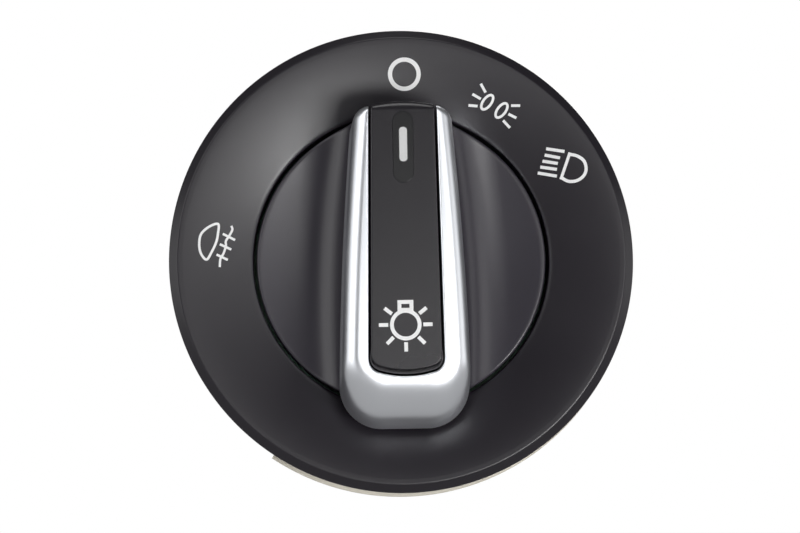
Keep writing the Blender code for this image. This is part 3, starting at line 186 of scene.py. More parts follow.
camera_data = bpy.data.cameras.new("camera")
camera_data.sensor_width = SENSOR_WIDTH
camera_data.lens = CAMERA_LENS
camera_data.shift_x = -CENTER_OFFSET[0] / PHOTO_WIDTH
camera_data.shift_y = -CENTER_OFFSET[1] / PHOTO_WIDTH
camera_data.clip_start = CLIP_START
camera = bpy.data.objects.new("camera", camera_data)
bpy.context.collection.objects.link(camera)


def toward(right, up):
    """Unit vector from the switch to a place right of and above its front, both in radians."""
    level = math.cos(up)
    return Vector((math.sin(right) * level, -math.cos(right) * level, math.sin(up)))


camera.location = RIM_CENTER + toward(-CAMERA_LEFT, -CAMERA_BELOW) * CAMERA_DISTANCE
camera.rotation_euler = (RIM_CENTER - camera.location).to_track_quat("-Z", "Y").to_euler()
bpy.context.scene.camera = camera
bpy.context.scene.view_settings.view_transform = "Standard"

# Each round soft box: degrees right of and above the switch's front, distance and width in metres, and watts.
SOFT_BOXES = {
    "box_below": (13, -15, 0.5, 0.12, 0.45),
    "box_below_right": (26, -15, 0.5, 0.12, 1.0),
    "box_front": (0, 0, 1.0, 0.24, 0.26),
    "box_front_right": (13, 0, 1.0, 0.24, 0.4),
    "box_right": (39, 13, 1.0, 0.5, 1.06),
    "box_left": (-52, 5, 1.0, 0.6, 1.6),
    "box_far_left": (-80, 0, 1.0, 0.7, 1.4),
    "box_far_right": (80, 0, 1.0, 0.7, 1.4),
    "box_upper_left": (-45, 30, 1.0, 0.5, 1.2),
    "box_top": (0, 62, 1.0, 0.42, 1.6),
    "box_back": (165, 30, 1.0, 0.6, 5.0),
}
for box_name, (right, up, distance, size, power) in SOFT_BOXES.items():
    lamp = bpy.data.lights.new(box_name, "AREA")
    lamp.shape = "DISK"
    lamp.size = size
    lamp.energy = power
    box_lamp = bpy.data.objects.new(box_name, lamp)
    bpy.context.collection.objects.link(box_lamp)
    box_lamp.location = toward(math.radians(right), math.radians(up)) * distance
    box_lamp.rotation_euler = (-box_lamp.location).to_track_quat("-Z", "Y").to_euler()

# Bezel
# The dished ring round the knob, moulded in black plastic with a fine spark-eroded grain and a chamfered rim.
# Snap bumps inside its skirt hold it on the light carrier. Its inner collar leaves a thin gap to the knob.

FACE = Matrix(((1, 0, 0, 0), (0, 0, -1, 0), (0, 1, 0, 0), (0, 0, 0, 1))) @ Matrix.Scale(MM, 4)
BEZEL_RADIUS = 35.0
BEZEL_TAPER = 0.3
BEZEL_WIDEST_Z = 10.0
RIM_RADIUS = 33.7
RIM_Z = 11.0
DISH_DEPTH = 2.2
DISH_STEPS = 28
HOLE_RADIUS = 22.35
BEZEL_FOOT_Z = 1.9
COLLAR_WALL = 1.3
COLLAR_LENGTH = 4.8
BEZEL_WALL = 1.6
SKIRT_BORE = 33.1
SNAP_COUNT = 6
SNAP_HALF_WIDTH = 3.0
SNAP_REACH = 1.0
SNAP_LEVELS = (2.2, 3.2, 4.2)
EDGE_RUN = 0.8
COLLAR_RUN = 0.4
CORNER_ROOM = 0.65
FOOT_ROUND = 0.15
BLACK_TINT = (0.0098, 0.0078, 0.0117)
TONE_SPREAD = 0.12


def dish_z(radius):
    """Front of the bezel: level at the rim and falling ever faster towards the knob."""
    share = max((RIM_RADIUS - radius) / (RIM_RADIUS - HOLE_RADIUS), 0.0)
    return RIM_Z - DISH_DEPTH * share ** 1.3


def arc(center, radius, start, end, steps):
    """Points of an arc from one angle to another, both ends included."""
    turns = [start + (end - start) * i / steps for i in range(steps + 1)]
    return [(center[0] + radius * math.cos(a), center[1] + radius * math.sin(a)) for a in turns]


def rounded(outline, steps=4):
    """Closed outline of (x, y, corner radius), each corner turned into an arc that fits its two sides."""
    points = []
    count = len(outline)
    for i, (x, y, radius) in enumerate(outline):
        corner = Vector((x, y))
        before = Vector(outline[i - 1][:2]) - corner
        after = Vector(outline[(i + 1) % count][:2]) - corner
        half = before.angle(after) / 2 if radius > 0 else math.pi / 2
        if half > math.radians(89):
            points.append((x, y))
            continue
        reach = min(radius / math.tan(half), before.length * 0.49, after.length * 0.49)
        middle = corner + (before.normalized() + after.normalized()).normalized() * reach / math.cos(half)
        first = corner + before.normalized() * reach - middle
        last = corner + after.normalized() * reach - middle
        swing = first.angle_signed(last)
        for step in range(steps + 1):
            points.append(tuple(middle + Matrix.Rotation(-swing * step / steps, 2) @ first))
    return points


def finished(name, bm, place=FACE):
    """Close a bmesh drawn in millimetres on the face, turn its faces outward and put it in its place."""
    bmesh.ops.remove_doubles(bm, verts=bm.verts, dist=1e-4)
    bmesh.ops.dissolve_degenerate(bm, edges=bm.edges, dist=1e-5)
    bmesh.ops.recalc_face_normals(bm, faces=bm.faces)
    mesh = bpy.data.meshes.new(name)
    bm.to_mesh(mesh)
    bm.free()
    mesh.transform(place)
    obj = bpy.data.objects.new(name, mesh)
    bpy.context.collection.objects.link(obj)
    return obj


def turned(name, profile, segments=192, place=FACE):
    """Solid of revolution from a closed outline of (radius, z)."""
    bm = bmesh.new()
    rim = [bm.verts.new((max(radius, 0.0), 0.0, z)) for radius, z in profile]
    edges = [bm.edges.new(pair) for pair in zip(rim, rim[1:] + rim[:1])]
    axis = (0, 0, 1)
    whole = {"angle": math.tau, "steps": segments, "use_merge": True}
    bmesh.ops.spin(bm, geom=rim + edges, cent=(0, 0, 0), axis=axis, **whole)
    return finished(name, bm, place)


def prism(name, outline, rear, front, place=FACE):
    """Flat outline on the face, given a thickness."""
    bm = bmesh.new()
    base = bm.faces.new([bm.verts.new((x, y, rear)) for x, y in outline])
    made = bmesh.ops.extrude_face_region(bm, geom=[base])
    verts = [item for item in made["geom"] if isinstance(item, bmesh.types.BMVert)]
    bmesh.ops.translate(bm, verts=verts, vec=(0, 0, front - rear))
    return finished(name, bm, place)


def box_outline(low, high):
    return [(low[0], low[1]), (high[0], low[1]), (high[0], high[1]), (low[0], high[1])]


def bake(obj):
    """Replace an object's mesh by what its modifiers make of it."""
    graph = bpy.context.evaluated_depsgraph_get()
    mesh = bpy.data.meshes.new_from_object(obj.evaluated_get(graph))
    obj.modifiers.clear()
    obj.data = mesh
    mesh.name = obj.name
    return obj


def combine(obj, tool, operation):
    """Add, cut or intersect with a tool shape, and throw the tool away."""
    step = obj.modifiers.new("step", "BOOLEAN")
    step.operation = operation
    step.object = tool
    bake(obj)
    bpy.data.objects.remove(tool)
    return obj


def soften(obj, width, segments=2, sharper=40):
    """Round an object's sharp edges by a width in millimetres."""
    step = obj.modifiers.new("edges", "BEVEL")
    step.width = width * MM
    step.segments = segments
    step.limit_method = "ANGLE"
    step.angle_limit = math.radians(sharper)
    return bake(obj)


def dress(obj, material, body, slot, *replaced, crease=30):
    """Shade a finished piece, and say what it rides on and what it stands for. The slot argument is not used.
    """
    obj.data.materials.clear()
    obj.data.materials.append(material)
    obj.data.shade_smooth()
    obj.data.set_sharp_from_angle(angle=math.radians(crease))
    step = obj.modifiers.new("flat faces stay flat", "WEIGHTED_NORMAL")
    step.keep_sharp = True
    bake(obj)
    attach(obj, body)
    if replaced:
        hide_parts(*replaced)
    return obj


def geometry_tree(name, sizes):
    """An empty geometry tree with a mesh going in and named inputs for its sizes."""
    tree = bpy.data.node_groups.new(name, "GeometryNodeTree")
    tree.interface.new_socket("Geometry", in_out="OUTPUT", socket_type="NodeSocketGeometry")
    tree.interface.new_socket("Geometry", in_out="INPUT", socket_type="NodeSocketGeometry")
    tree.interface.new_socket("Material", in_out="INPUT", socket_type="NodeSocketMaterial")
    for label, value in sizes.items():
        kind = "NodeSocketInt" if isinstance(value, int) else "NodeSocketFloat"
        tree.interface.new_socket(label, in_out="INPUT", socket_type=kind).default_value = value
    given = tree.nodes.new("NodeGroupInput")
    return Shade(tree), {socket.name: Shade(tree, socket) for socket in given.outputs if socket.name}


def end_geometry(geometry, material):
    """Make the instances real, give them their material and lead them out of the tree."""
    real = geometry.node("GeometryNodeRealizeInstances", inputs={"Geometry": geometry})
    painted = geometry.node("GeometryNodeSetMaterial", inputs={"Geometry": real, "Material": material})
    painted.end("NodeGroupOutput", "Geometry")


def grow(obj, tree, material, **sizes):
    """Run a geometry tree on an object and keep the result as its plain mesh."""
    step = obj.modifiers.new(tree.name, "NODES")
    step.node_group = tree
    wanted = {label.replace("_", " ").capitalize(): value for label, value in sizes.items()}
    wanted["Material"] = material
    for socket in tree.interface.items_tree:
        if socket.in_out == "INPUT" and socket.name in wanted:
            step[socket.identifier] = wanted[socket.name]
    return bake(obj)


start, given = geometry_tree("round the axis", {"Count": 6, "Start": 0.0, "Step": 1.0})
spots = start.node("GeometryNodePoints", inputs={"Count": given["Count"]})
turn = start.node("GeometryNodeInputIndex") * given["Step"] + given["Start"]
spin = start.node("ShaderNodeCombineXYZ", inputs={"Z": turn})
copies = start.node(
    "GeometryNodeInstanceOnPoints", inputs={"Points": spots, "Instance": given["Geometry"], "Rotation": spin}
)
end_geometry(copies, given["Material"])
round_axis = start.tree


def around(obj, material, count, first, place=FACE):
    """Repeat a piece drawn beside the face's axis evenly round it, then put the whole in its place."""
    grow(obj, round_axis, material, count=count, start=first, step=math.tau / count)
    obj.data.transform(place)
    return obj


def noise(start, place, scale, detail):
    """Noise at the places of a surface, its scale in waves per metre."""
    return start.node("ShaderNodeTexNoise", inputs={"Vector": place, "Scale": scale, "Detail": detail})


def moulded(name, color, roughness, grain=0.15, depth=0.012):
    """Moulded plastic: a fine eroded grain in its surface and slow changes in tone and gloss."""
    material, start = new_material(name)
    place = start.node("ShaderNodeTexCoord", output=3)
    fine = noise(start, place, 1 / (grain * MM), 3.0)
    slow = noise(start, place, 90.0, 3.0)
    bump = start.node("ShaderNodeBump", inputs={"Height": fine, "Distance": depth * MM, "Strength": 0.6})
    pale = [min(part * (1 + TONE_SPREAD), 1.0) for part in color] + [1.0]
    dark = [part * (1 - TONE_SPREAD) for part in color] + [1.0]
    shares = {"Factor": slow * 0.7 + fine * 0.3, 6: dark, 7: pale}
    tone = start.node("ShaderNodeMix", {"data_type": "RGBA"}, shares, output=2)
    looks = {"Base Color": tone, "Roughness": roughness - 0.04 + 0.08 * slow, "Normal": bump}
    start.node("ShaderNodeBsdfPrincipled", inputs=looks).end("ShaderNodeOutputMaterial")
    return material


bezel_black = moulded("bezel_black", BLACK_TINT, 0.32)

collar_foot = dish_z(HOLE_RADIUS) - COLLAR_LENGTH
bezel_outline = [
    (BEZEL_RADIUS - BEZEL_TAPER, BEZEL_FOOT_Z, FOOT_ROUND),
    (BEZEL_RADIUS, BEZEL_WIDEST_Z, 0.35),
    (RIM_RADIUS, RIM_Z, 0.45),
    (RIM_RADIUS - EDGE_RUN, dish_z(RIM_RADIUS - EDGE_RUN), 0.0),
]
for i in range(2, DISH_STEPS + 1):
    radius = RIM_RADIUS + (HOLE_RADIUS + COLLAR_RUN - RIM_RADIUS) * i / DISH_STEPS
    bezel_outline.append((radius, dish_z(radius), 0.0))
bezel_outline += [(HOLE_RADIUS, dish_z(HOLE_RADIUS) - 0.1, 0.3)]
collar_outer = HOLE_RADIUS + COLLAR_WALL
bezel_outline += [(HOLE_RADIUS, collar_foot, FOOT_ROUND), (collar_outer, collar_foot, FOOT_ROUND)]
for i in range(7):
    radius = collar_outer + (SKIRT_BORE - CORNER_ROOM - collar_outer) * i / 6
    bezel_outline.append((radius, dish_z(radius) - BEZEL_WALL, 0.0))
bezel_outline += [(SKIRT_BORE, BEZEL_WIDEST_Z - BEZEL_WALL, 0.2), (SKIRT_BORE, BEZEL_FOOT_Z, FOOT_ROUND)]
bezel = turned("bezel_ring", rounded(bezel_outline), segments=256)
dress(bezel, bezel_black, "housing", "bezel_black", "bezel")

SIDEWAYS = Matrix(((0, 0, 1, 0), (1, 0, 0, 0), (0, 1, 0, 0), (0, 0, 0, 1)))
UNPLACED = Matrix.Identity(4)
low, middle, high = SNAP_LEVELS
snap_foot = SKIRT_BORE + BEZEL_WALL / 2
snap_tip = SKIRT_BORE - SNAP_REACH
snap_outline = [(snap_foot, low, 0.0), (snap_tip, middle, 0.3), (snap_tip, high, 0.2), (snap_foot, high, 0.0)]
upright = Matrix.Rotation(-math.pi / 2, 4, "Z") @ SIDEWAYS
snaps = prism("bezel_snaps", rounded(snap_outline), -SNAP_HALF_WIDTH, SNAP_HALF_WIDTH, upright)
around(snaps, bezel_black, SNAP_COUNT, math.tau / SNAP_COUNT / 2)
dress(snaps, bezel_black, "housing", "bezel_black")

# Signs on the bezel
# White print that lies on the dish: a ring for off, two lamps for the side lights, and the two beam signs.
# Each sign is drawn flat, in strokes of one width, and then follows the dish's surface.

SIGN_STAND = 0.02
SIGN_SINK = 0.03
STROKE_STEP = 0.25
STROKE_LIFT = 0.004


def printed_white(name, tone=0.76):
    """Screen-printed white ink: nearly flat, with a faint mottle."""
    material, start = new_material(name)
    place = start.node("ShaderNodeTexCoord", output=3)
    mottle = noise(start, place, 4000.0, 2.0)
    dark, pale = [(tone * share, tone * share, tone * share, 1.0) for share in (0.94, 1.06)]
    color = start.node("ShaderNodeMix", {"data_type": "RGBA"}, {"Factor": mottle, 6: dark, 7: pale}, output=2)
    looks = {"Base Color": color, "Roughness": 0.6}
    start.node("ShaderNodeBsdfPrincipled", inputs=looks).end("ShaderNodeOutputMaterial")
    return material


def finely(path, closed):
    """The path with more points on it, so that a stroke along it can follow a curved surface."""
    corners = [Vector(point) for point in path]
    pairs = list(zip(corners, corners[1:] + corners[:1])) if closed else list(zip(corners, corners[1:]))
    points = []
    for start, end in pairs:
        steps = max(int((end - start).length / STROKE_STEP), 1)
        points += [start.lerp(end, i / steps) for i in range(steps)]
    return points if closed else points + [corners[-1]]


def smooth(path, closed=False, steps=6):
    """Points of a smooth curve through the path's points."""
    spots = [Vector(point) for point in path]
    count = len(spots)
    points = []
    for i in range(count if closed else count - 1):
        places = [i - 1, i, i + 1, i + 2]
        a, b, c, d = [spots[place % count if closed else min(max(place, 0), count - 1)] for place in places]
        for step in range(steps):
            t = step / steps
            bend = (2 * a - 5 * b + 4 * c - d) * t * t
            twist = (3 * b - a - 3 * c + d) * t ** 3
            points.append((2 * b + (c - a) * t + bend + twist) / 2)
    return points if closed else points + [spots[-1]]


def stroke(bm, path, width, height, closed=False, lift=0.0):
    """Add a stroke of one width along a flat path, its face a hair above the surface that height() gives."""
    points = finely(path, closed)
    count = len(points)
    rails = ([], [])
    for i, point in enumerate(points):
        before = points[i - 1] if closed or i else point
        after = points[(i + 1) % count] if closed or i + 1 < count else point
        back = (point - before).normalized() if point != before else (after - point).normalized()
        ahead = (after - point).normalized() if point != after else back
        across = Vector((-back.y - ahead.y, back.x + ahead.x)).normalized()
        reach = width / 2 / max(across.dot(Vector((-ahead.y, ahead.x))), 0.5)
        rails[0].append(point + across * reach)
        rails[1].append(point - across * reach)
    levels = []
    for stand in (SIGN_STAND + lift, -SIGN_SINK):
        levels.append([[bm.verts.new((p.x, p.y, height(p.x, p.y) + stand)) for p in rail] for rail in rails])
    (left, right), (left_low, right_low) = levels
    for i in range(count if closed else count - 1):
        j = (i + 1) % count
        bm.faces.new((left[i], left[j], right[j], right[i]))
        bm.faces.new((left_low[i], right_low[i], right_low[j], left_low[j]))
        bm.faces.new((left[i], left_low[i], left_low[j], left[j]))
        bm.faces.new((right[i], right[j], right_low[j], right_low[i]))
    if not closed:
        bm.faces.new((left[0], right[0], right_low[0], left_low[0]))
        bm.faces.new((left[-1], left_low[-1], right_low[-1], right[-1]))


def oval(center, half_width, half_height, lean, steps=28):
    """Path round an ellipse whose upper end leans to the right by an angle."""
    points = []
    for i in range(steps):
        angle = math.tau * i / steps
        straight = Vector((half_width * math.cos(angle), half_height * math.sin(angle)))
        spot = Matrix.Rotation(-lean, 2) @ straight
        points.append((center[0] + spot.x, center[1] + spot.y))
    return points


SIDE_RAYS = [
    ((-3.49, 1.9), (-2.19, 1.12)), ((-3.8, -0.06), (-2.34, -0.06)),
    ((-3.48, -1.79), (-2.22, -1.22)), ((2.15, 1.33), (3.34, 2.0)), ((2.43, 0.05), (3.78, 0.12)),
    ((2.22, -1.17), (3.69, -1.62)),
]
LOW_BEAMS = [
    ((-3.42, 1.78), (-0.67, 2.22)), ((-3.34, 0.82), (-1.01, 1.1)), ((-3.35, -0.14), (-1.05, 0.21)),
    ((-3.37, -1.09), (-0.89, -0.67)), ((-3.45, -2.04), (-0.56, -1.64)),
]
LOW_LAMP = [
    (0.15, 2.05), (1.35, 2.15), (2.55, 1.75), (3.25, 0.7), (3.2, -0.45), (2.45, -1.4), (1.3, -1.85),
    (0.15, -1.65),
]
FOG_BEAMS = [((0.37, 1.59), (2.4, 1.33)), ((0.46, -0.04), (2.33, -0.22)), ((0.51, -1.68), (2.34, -1.88))]
FOG_WAVE = [
    (1.18, 3.17), (1.51, 2.68), (1.4, 1.77), (1.16, 0.71), (1.38, 0.05), (1.43, -1.15),
    (1.26, -2.08), (1.57, -3.31),
]
FOG_LAMP = [
    (-0.75, 2.75), (-0.3, 1.3), (-0.15, 0.0), (-0.3, -1.5), (-0.65, -2.9), (-1.75, -2.3),
    (-2.45, -1.0), (-2.65, 0.48), (-1.9, 1.9),
]
SIGN_PLACES = {
    "off": (28.29, 0.8, 0.0),
    "side": (27.35, 30.94, 30.0),
    "low": (28.4, 59.95, 18.5),
    "fog": (27.9, -84.87, 18.5),
}
SIGN_STROKES = {
    "off": [(oval((0, 0), 2.17, 2.17, 0.0, 48), 0.64, True)],
    "side": [(oval((side * 1.25, 0), 0.62, 1.24, 0.12), 0.38, True) for side in (-1, 1)]
    + [(ray, 0.4, False) for ray in SIDE_RAYS],
    "low": [(smooth(LOW_LAMP), 0.47, False), ([(0.15, 2.32), (0.15, -1.92)], 0.44, False)]
    + [(beam, 0.46, False) for beam in LOW_BEAMS],
    "fog": [(smooth(FOG_LAMP, True), 0.36, True), (smooth(FOG_WAVE), 0.34, False)]
    + [(beam, 0.36, False) for beam in FOG_BEAMS],
}

ink = printed_white("sign_white")
for sign, (radius, clockwise, turn) in SIGN_PLACES.items():
    angle = math.radians(clockwise)
    middle = Vector((radius * math.sin(angle), radius * math.cos(angle)))
    turned_by = Matrix.Rotation(-math.radians(turn), 2)
    bm = bmesh.new()
    for i, (path, width, closed) in enumerate(SIGN_STROKES[sign]):
        placed = [middle + turned_by @ Vector(point) for point in path]
        stroke(bm, placed, width, lambda x, y: dish_z(math.hypot(x, y)), closed, i * STROKE_LIFT / 2)
    dress(finished(f"sign_{sign}", bm), ink, "housing", "bezel_black")

# Knob
# Disc with a dished face, moulded in a black plastic a shade paler than the bezel's.
# Hollow fillets rise from its face to the foot of the grip on both sides.

KNOB_LEAN = math.radians(1)
KNOB_PLACE = FACE @ Matrix.Rotation(KNOB_LEAN, 4, "Z")
KNOB_RADIUS = 21.85
KNOB_EDGE = 0.4
KNOB_FACE_Z = 8.7
KNOB_DISH_DEPTH = 2.0
KNOB_SKIRT_Z = 3.0
SKIRT_WALL = 1.6
CAVITY_Z = 6.0
SCOOP_RUN = 7.5
SCOOP_TOP_Z = 12.1
GRIP_STATION = 18.2
GRIP_WIDTHS = (19.3, 17.9, 15.3)
GRIP_DRAFT = 0.35
DISC_ROWS = 120
DISC_COLUMNS = 44
EDGE_STEPS = 6
KNOB_TINT = (0.0295, 0.0265, 0.0345)


def grip_half_width(y):
    """Half the grip's width at its foot: a shallow curve through the widths at its ends and middle."""
    low, middle, top = GRIP_WIDTHS
    share = y / GRIP_STATION
    return (middle + (top - low) / 2 * share + ((top + low) / 2 - middle) * share * share) / 2


def scoop_z(x, y):
    """Front of the disc: a shallow dish, then a hollow fillet up to the foot of the grip."""
    share = min(max((abs(x) - grip_half_width(y) + GRIP_DRAFT / 2) / SCOOP_RUN, 0.0), 1.0)
    out = min(math.hypot(x, y) / (KNOB_RADIUS - KNOB_EDGE), 1.0)
    face = KNOB_FACE_Z - KNOB_DISH_DEPTH * (1 - out * out)
    return SCOOP_TOP_Z - (SCOOP_TOP_Z - face) * math.sqrt(1 - (1 - share) ** 2)


def band(bm, first, second):
    """Faces between two closed loops of as many points."""
    for i, _ in enumerate(first):
        bm.faces.new((first[i - 1], first[i], second[i], second[i - 1]))
    return second


def ring_below(bm, loop, radius, z_of):
    """A circle of points outside or inside a loop of points, in their directions from the axis."""
    ring = []
    for vert in loop:
        out = Vector((vert.co.x, vert.co.y)).normalized() * radius
        ring.append(bm.verts.new((out.x, out.y, z_of(vert))))
    return ring


reach = KNOB_RADIUS - KNOB_EDGE
bm = bmesh.new()
grid = []
for row in range(DISC_ROWS + 1):
    tilt = math.pi * row / DISC_ROWS - math.pi / 2
    y = reach * math.sin(tilt)
    edge_x = reach * math.cos(tilt)
    foot_x = min(grip_half_width(y) - GRIP_DRAFT / 2, edge_x)
    right = [foot_x + (edge_x - foot_x) * (i / DISC_COLUMNS) ** 2 for i in range(DISC_COLUMNS + 1)]
    xs = [-x for x in reversed(right)] + [-foot_x / 3, foot_x / 3] + right
    grid.append([bm.verts.new((x, y, scoop_z(x, y))) for x in xs])
for lower, upper in zip(grid, grid[1:]):
    for i in range(len(lower) - 1):
        bm.faces.new((lower[i], lower[i + 1], upper[i + 1], upper[i]))
rim = [line[-1] for line in grid] + [line[0] for line in reversed(grid[1:-1])]
last = rim
for i in range(1, EDGE_STEPS + 1):
    turn = math.pi / 2 * i / EDGE_STEPS
    drop = KNOB_EDGE * (1 - math.cos(turn))
    last = band(bm, last, ring_below(bm, rim, reach + KNOB_EDGE * math.sin(turn), lambda v: v.co.z - drop))
inner = KNOB_RADIUS - SKIRT_WALL
for radius, z in ((KNOB_RADIUS, KNOB_SKIRT_Z), (inner, KNOB_SKIRT_Z), (inner, CAVITY_Z)):
    last = band(bm, last, ring_below(bm, rim, radius, lambda v: z))
bm.faces.new(last)
knob = finished("knob_moulding", bm, KNOB_PLACE)
knob_black = moulded("knob_black", KNOB_TINT, 0.3)

# Grip trim
# Satin-plated U that wraps the grip from the front, its legs open at the top round the insert.
# Its outer edges are rolled, its lower end leans back softly, and a fine line parts it from the insert.

GRIP_FOOT_Z = 12.4
GRIP_FRONT_Z = 24.5
GRIP_TOP_Y = 21.6
GRIP_FOOT_Y = -25.45
END_LEAN = 3.3
END_ROLL = (3.6, 5.4)
SIDE_ROLL = (2.3, 2.7)
CORNER_TOP = 2.9
CORNER_LOW = 6.3
LEVELS = 34
INSERT_WIDTHS = (10.4, 9.3)
INSERT_LOW_Y = -17.3
INSERT_CORNER = 1.8
INSERT_BOW = 0.5
TRIM_LINE = 0.3
TRIM_LOW_LINE = 0.85
INNER_ROUND = 0.28
OPEN_END = 9.0


def grip_outline(inset, top, low, z):
    """Plan of the whole grip at one level: curved sides between rounded corners."""
    top_radius = CORNER_TOP - inset
    low_radius = CORNER_LOW - inset
    top_center = (grip_half_width(top - top_radius) - inset - top_radius, top - top_radius)
    low_center = (grip_half_width(low + low_radius) - inset - low_radius, low + low_radius)
    right = arc(top_center, top_radius, math.pi / 2, 0, 14)
    side_steps = 30
    for i in range(1, side_steps):
        y = top_center[1] + (low_center[1] - top_center[1]) * i / side_steps
        right.append((grip_half_width(y) - inset, y))
    right += arc(low_center, low_radius, 0, -math.pi / 2, 18)
    return [(x, y, z) for x, y in right + [(-x, y) for x, y in reversed(right)]]


def rolled(up, height, roll):
    """How far an edge has rolled in at a level, for a roll of a width and a height."""
    rise = max(up - height + roll[1], 0.0) / roll[1]
    return roll[0] * (1 - math.sqrt(max(1 - rise * rise, 0.0)))


def grip_levels():
    """Inset, upper end, lower end and height of each level, from the foot to the rolled front edge."""
    height = GRIP_FRONT_Z - GRIP_FOOT_Z
    for i in range(LEVELS + 1):
        up = height * math.sin(math.pi / 2 * i / LEVELS)
        share = up / height
        roll = rolled(up, height, SIDE_ROLL)
        low = GRIP_FOOT_Y + END_LEAN * share ** 1.7 + rolled(up, height, END_ROLL)
        yield GRIP_DRAFT * share + roll, GRIP_TOP_Y - roll / 3, low, GRIP_FOOT_Z + up


def loft(name, sections, place=FACE):
    """Closed solid through loops of as many points, with flat ends."""
    bm = bmesh.new()
    loops = [[bm.verts.new(point) for point in section] for section in sections]
    for lower, upper in zip(loops, loops[1:]):
        band(bm, lower, upper)
    bm.faces.new(loops[0])
    bm.faces.new(loops[-1])
    return finished(name, bm, place)


def insert_half_width(y):
    """Half the insert's width, tapering evenly from its low end to the top of the grip."""
    low, top = INSERT_WIDTHS
    return (low + (top - low) * (y - INSERT_LOW_Y) / (GRIP_TOP_Y - INSERT_LOW_Y)) / 2


def channel(widen, low, top, z=0.0):
    """Plan of the slot for the core and insert, or of a piece in it, with rounded corners and a bowed end."""
    radius = INSERT_CORNER + widen
    corner_x = insert_half_width(low) + widen - radius
    slope = math.atan2(2 * INSERT_BOW, corner_x)
    right = [(insert_half_width(top) + widen, top)]
    right += arc((corner_x, low + INSERT_BOW + radius), radius, 0, slope - math.pi / 2, 14)
    end_x, end_y = right[-1]
    right += [(end_x * (1 - i / 6), low + (end_y - low) * (1 - i / 6) ** 2) for i in range(1, 6)]
    return [(x, y, z) for x, y in right + [(0.0, low)] + [(-x, y) for x, y in reversed(right)]]


def satin_metal(name, color, roughness, scratch=0.06, depth=0.0006):
    """Plated or bare metal with very fine random brushing, so that highlights stay soft."""
    material, start = new_material(name)
    place = start.node("ShaderNodeTexCoord", output=3)
    fine = noise(start, place, 1 / (scratch * MM), 2.0)
    slow = noise(start, place, 160.0, 2.0)
    bump = start.node("ShaderNodeBump", inputs={"Height": fine, "Distance": depth * MM, "Strength": 0.5})
    looks = {
        "Base Color": (*color, 1.0),
        "Metallic": 1.0,
        "Roughness": roughness - 0.03 + 0.06 * slow,
        "Normal": bump,
    }
    start.node("ShaderNodeBsdfPrincipled", inputs=looks).end("ShaderNodeOutputMaterial")
    return material


trim_silver = satin_metal("trim_silver", (0.83, 0.85, 0.89), 0.34)
trim = loft("grip_trim_plated", [grip_outline(*level) for level in grip_levels()], KNOB_PLACE)
channel_top = GRIP_TOP_Y + OPEN_END
channel_low = INSERT_LOW_Y - TRIM_LOW_LINE
rounding = [math.pi / 2 * i / 6 for i in range(7)]
slot_levels = [(0.0, GRIP_FOOT_Z - 1.0 - GRIP_FRONT_Z + INNER_ROUND)]
slot_levels += [(INNER_ROUND * (1 - math.cos(a)), INNER_ROUND * math.sin(a)) for a in rounding]
slot_levels += [(INNER_ROUND, INNER_ROUND + 1.0)]
slot_sections = []
for out, up in slot_levels:
    level = GRIP_FRONT_Z - INNER_ROUND + up
    slot_sections.append(channel(TRIM_LINE + out, channel_low - out, channel_top, level))
combine(trim, loft("slot", slot_sections, KNOB_PLACE), "DIFFERENCE")
dress(trim, trim_silver, "knob", "trim_silver", "grip_trim")

# Grip core and stem, which finish the knob's moulding
# The core fills the trim's slot up to the back of the insert, with a thin lip round the insert's lower end.
# The square stem runs back through the rotor, with a neck and head for the fog slider.

INSERT_FRONT_Z = 24.4
INSERT_THICKNESS = 2.1
GAP = 0.3
CORE_FRONT_Z = INSERT_FRONT_Z - INSERT_THICKNESS - GAP
NOSE = 0.9
LIP_WALL = 0.16
LIP_WIDEN = 0.1
LIP_FRONT_Z = 23.9
LIP_TOP_Y = -14.5
STEM_HALF = 6.0
STEM_CORNER = 1.0
STEM_BORE_RADIUS = 2.6
STEM_END_Z = -25.8
NECK_RADIUS = 4.5
NECK_Z = (-22.4, -24.5)
OVERLAP = 0.3

core_low = INSERT_LOW_Y - TRIM_LOW_LINE + GAP
core_top = GRIP_TOP_Y - NOSE - GAP
core_sections = [channel(0.0, core_low, core_top, z) for z in (KNOB_FACE_Z, CORE_FRONT_Z)]
combine(knob, loft("core", core_sections, KNOB_PLACE), "UNION")
lip_sections = [channel(LIP_WIDEN, core_low, LIP_TOP_Y, z) for z in (CORE_FRONT_Z - 1, LIP_FRONT_Z)]
lip = loft("lip", lip_sections, KNOB_PLACE)
inner_widen = LIP_WIDEN - LIP_WALL
inner_low = core_low + LIP_WALL
inside = [channel(inner_widen, inner_low, LIP_TOP_Y + 1, z) for z in (CORE_FRONT_Z - 2, LIP_FRONT_Z + 1)]
combine(lip, loft("lip_inside", inside, KNOB_PLACE), "DIFFERENCE")
combine(knob, lip, "UNION")
neck_front_z, neck_rear_z = NECK_Z
plan = box_outline((-STEM_HALF, -STEM_HALF), (STEM_HALF, STEM_HALF))
square = rounded([(x, y, STEM_CORNER) for x, y in plan], 5)
combine(knob, prism("stem", square, neck_front_z, CAVITY_Z + OVERLAP, KNOB_PLACE), "UNION")
turned_end = [
    (0.0, neck_front_z + OVERLAP, 0.0), (NECK_RADIUS, neck_front_z + OVERLAP, 0.0),
    (NECK_RADIUS, neck_rear_z, 0.0), (STEM_HALF, neck_rear_z, 0.2), (STEM_HALF, STEM_END_Z, 0.4),
    (0.0, STEM_END_Z, 0.0),
]
combine(knob, turned("stem_end", rounded(turned_end), 72, KNOB_PLACE), "UNION")
circle = arc((0, 0), STEM_BORE_RADIUS, 0, math.tau, 48)[:-1]
bore = prism("bore", circle, STEM_END_Z - 1, CAVITY_Z, KNOB_PLACE)
combine(knob, bore, "DIFFERENCE")
dress(knob, knob_black, "knob", "knob_black", "knob_body")

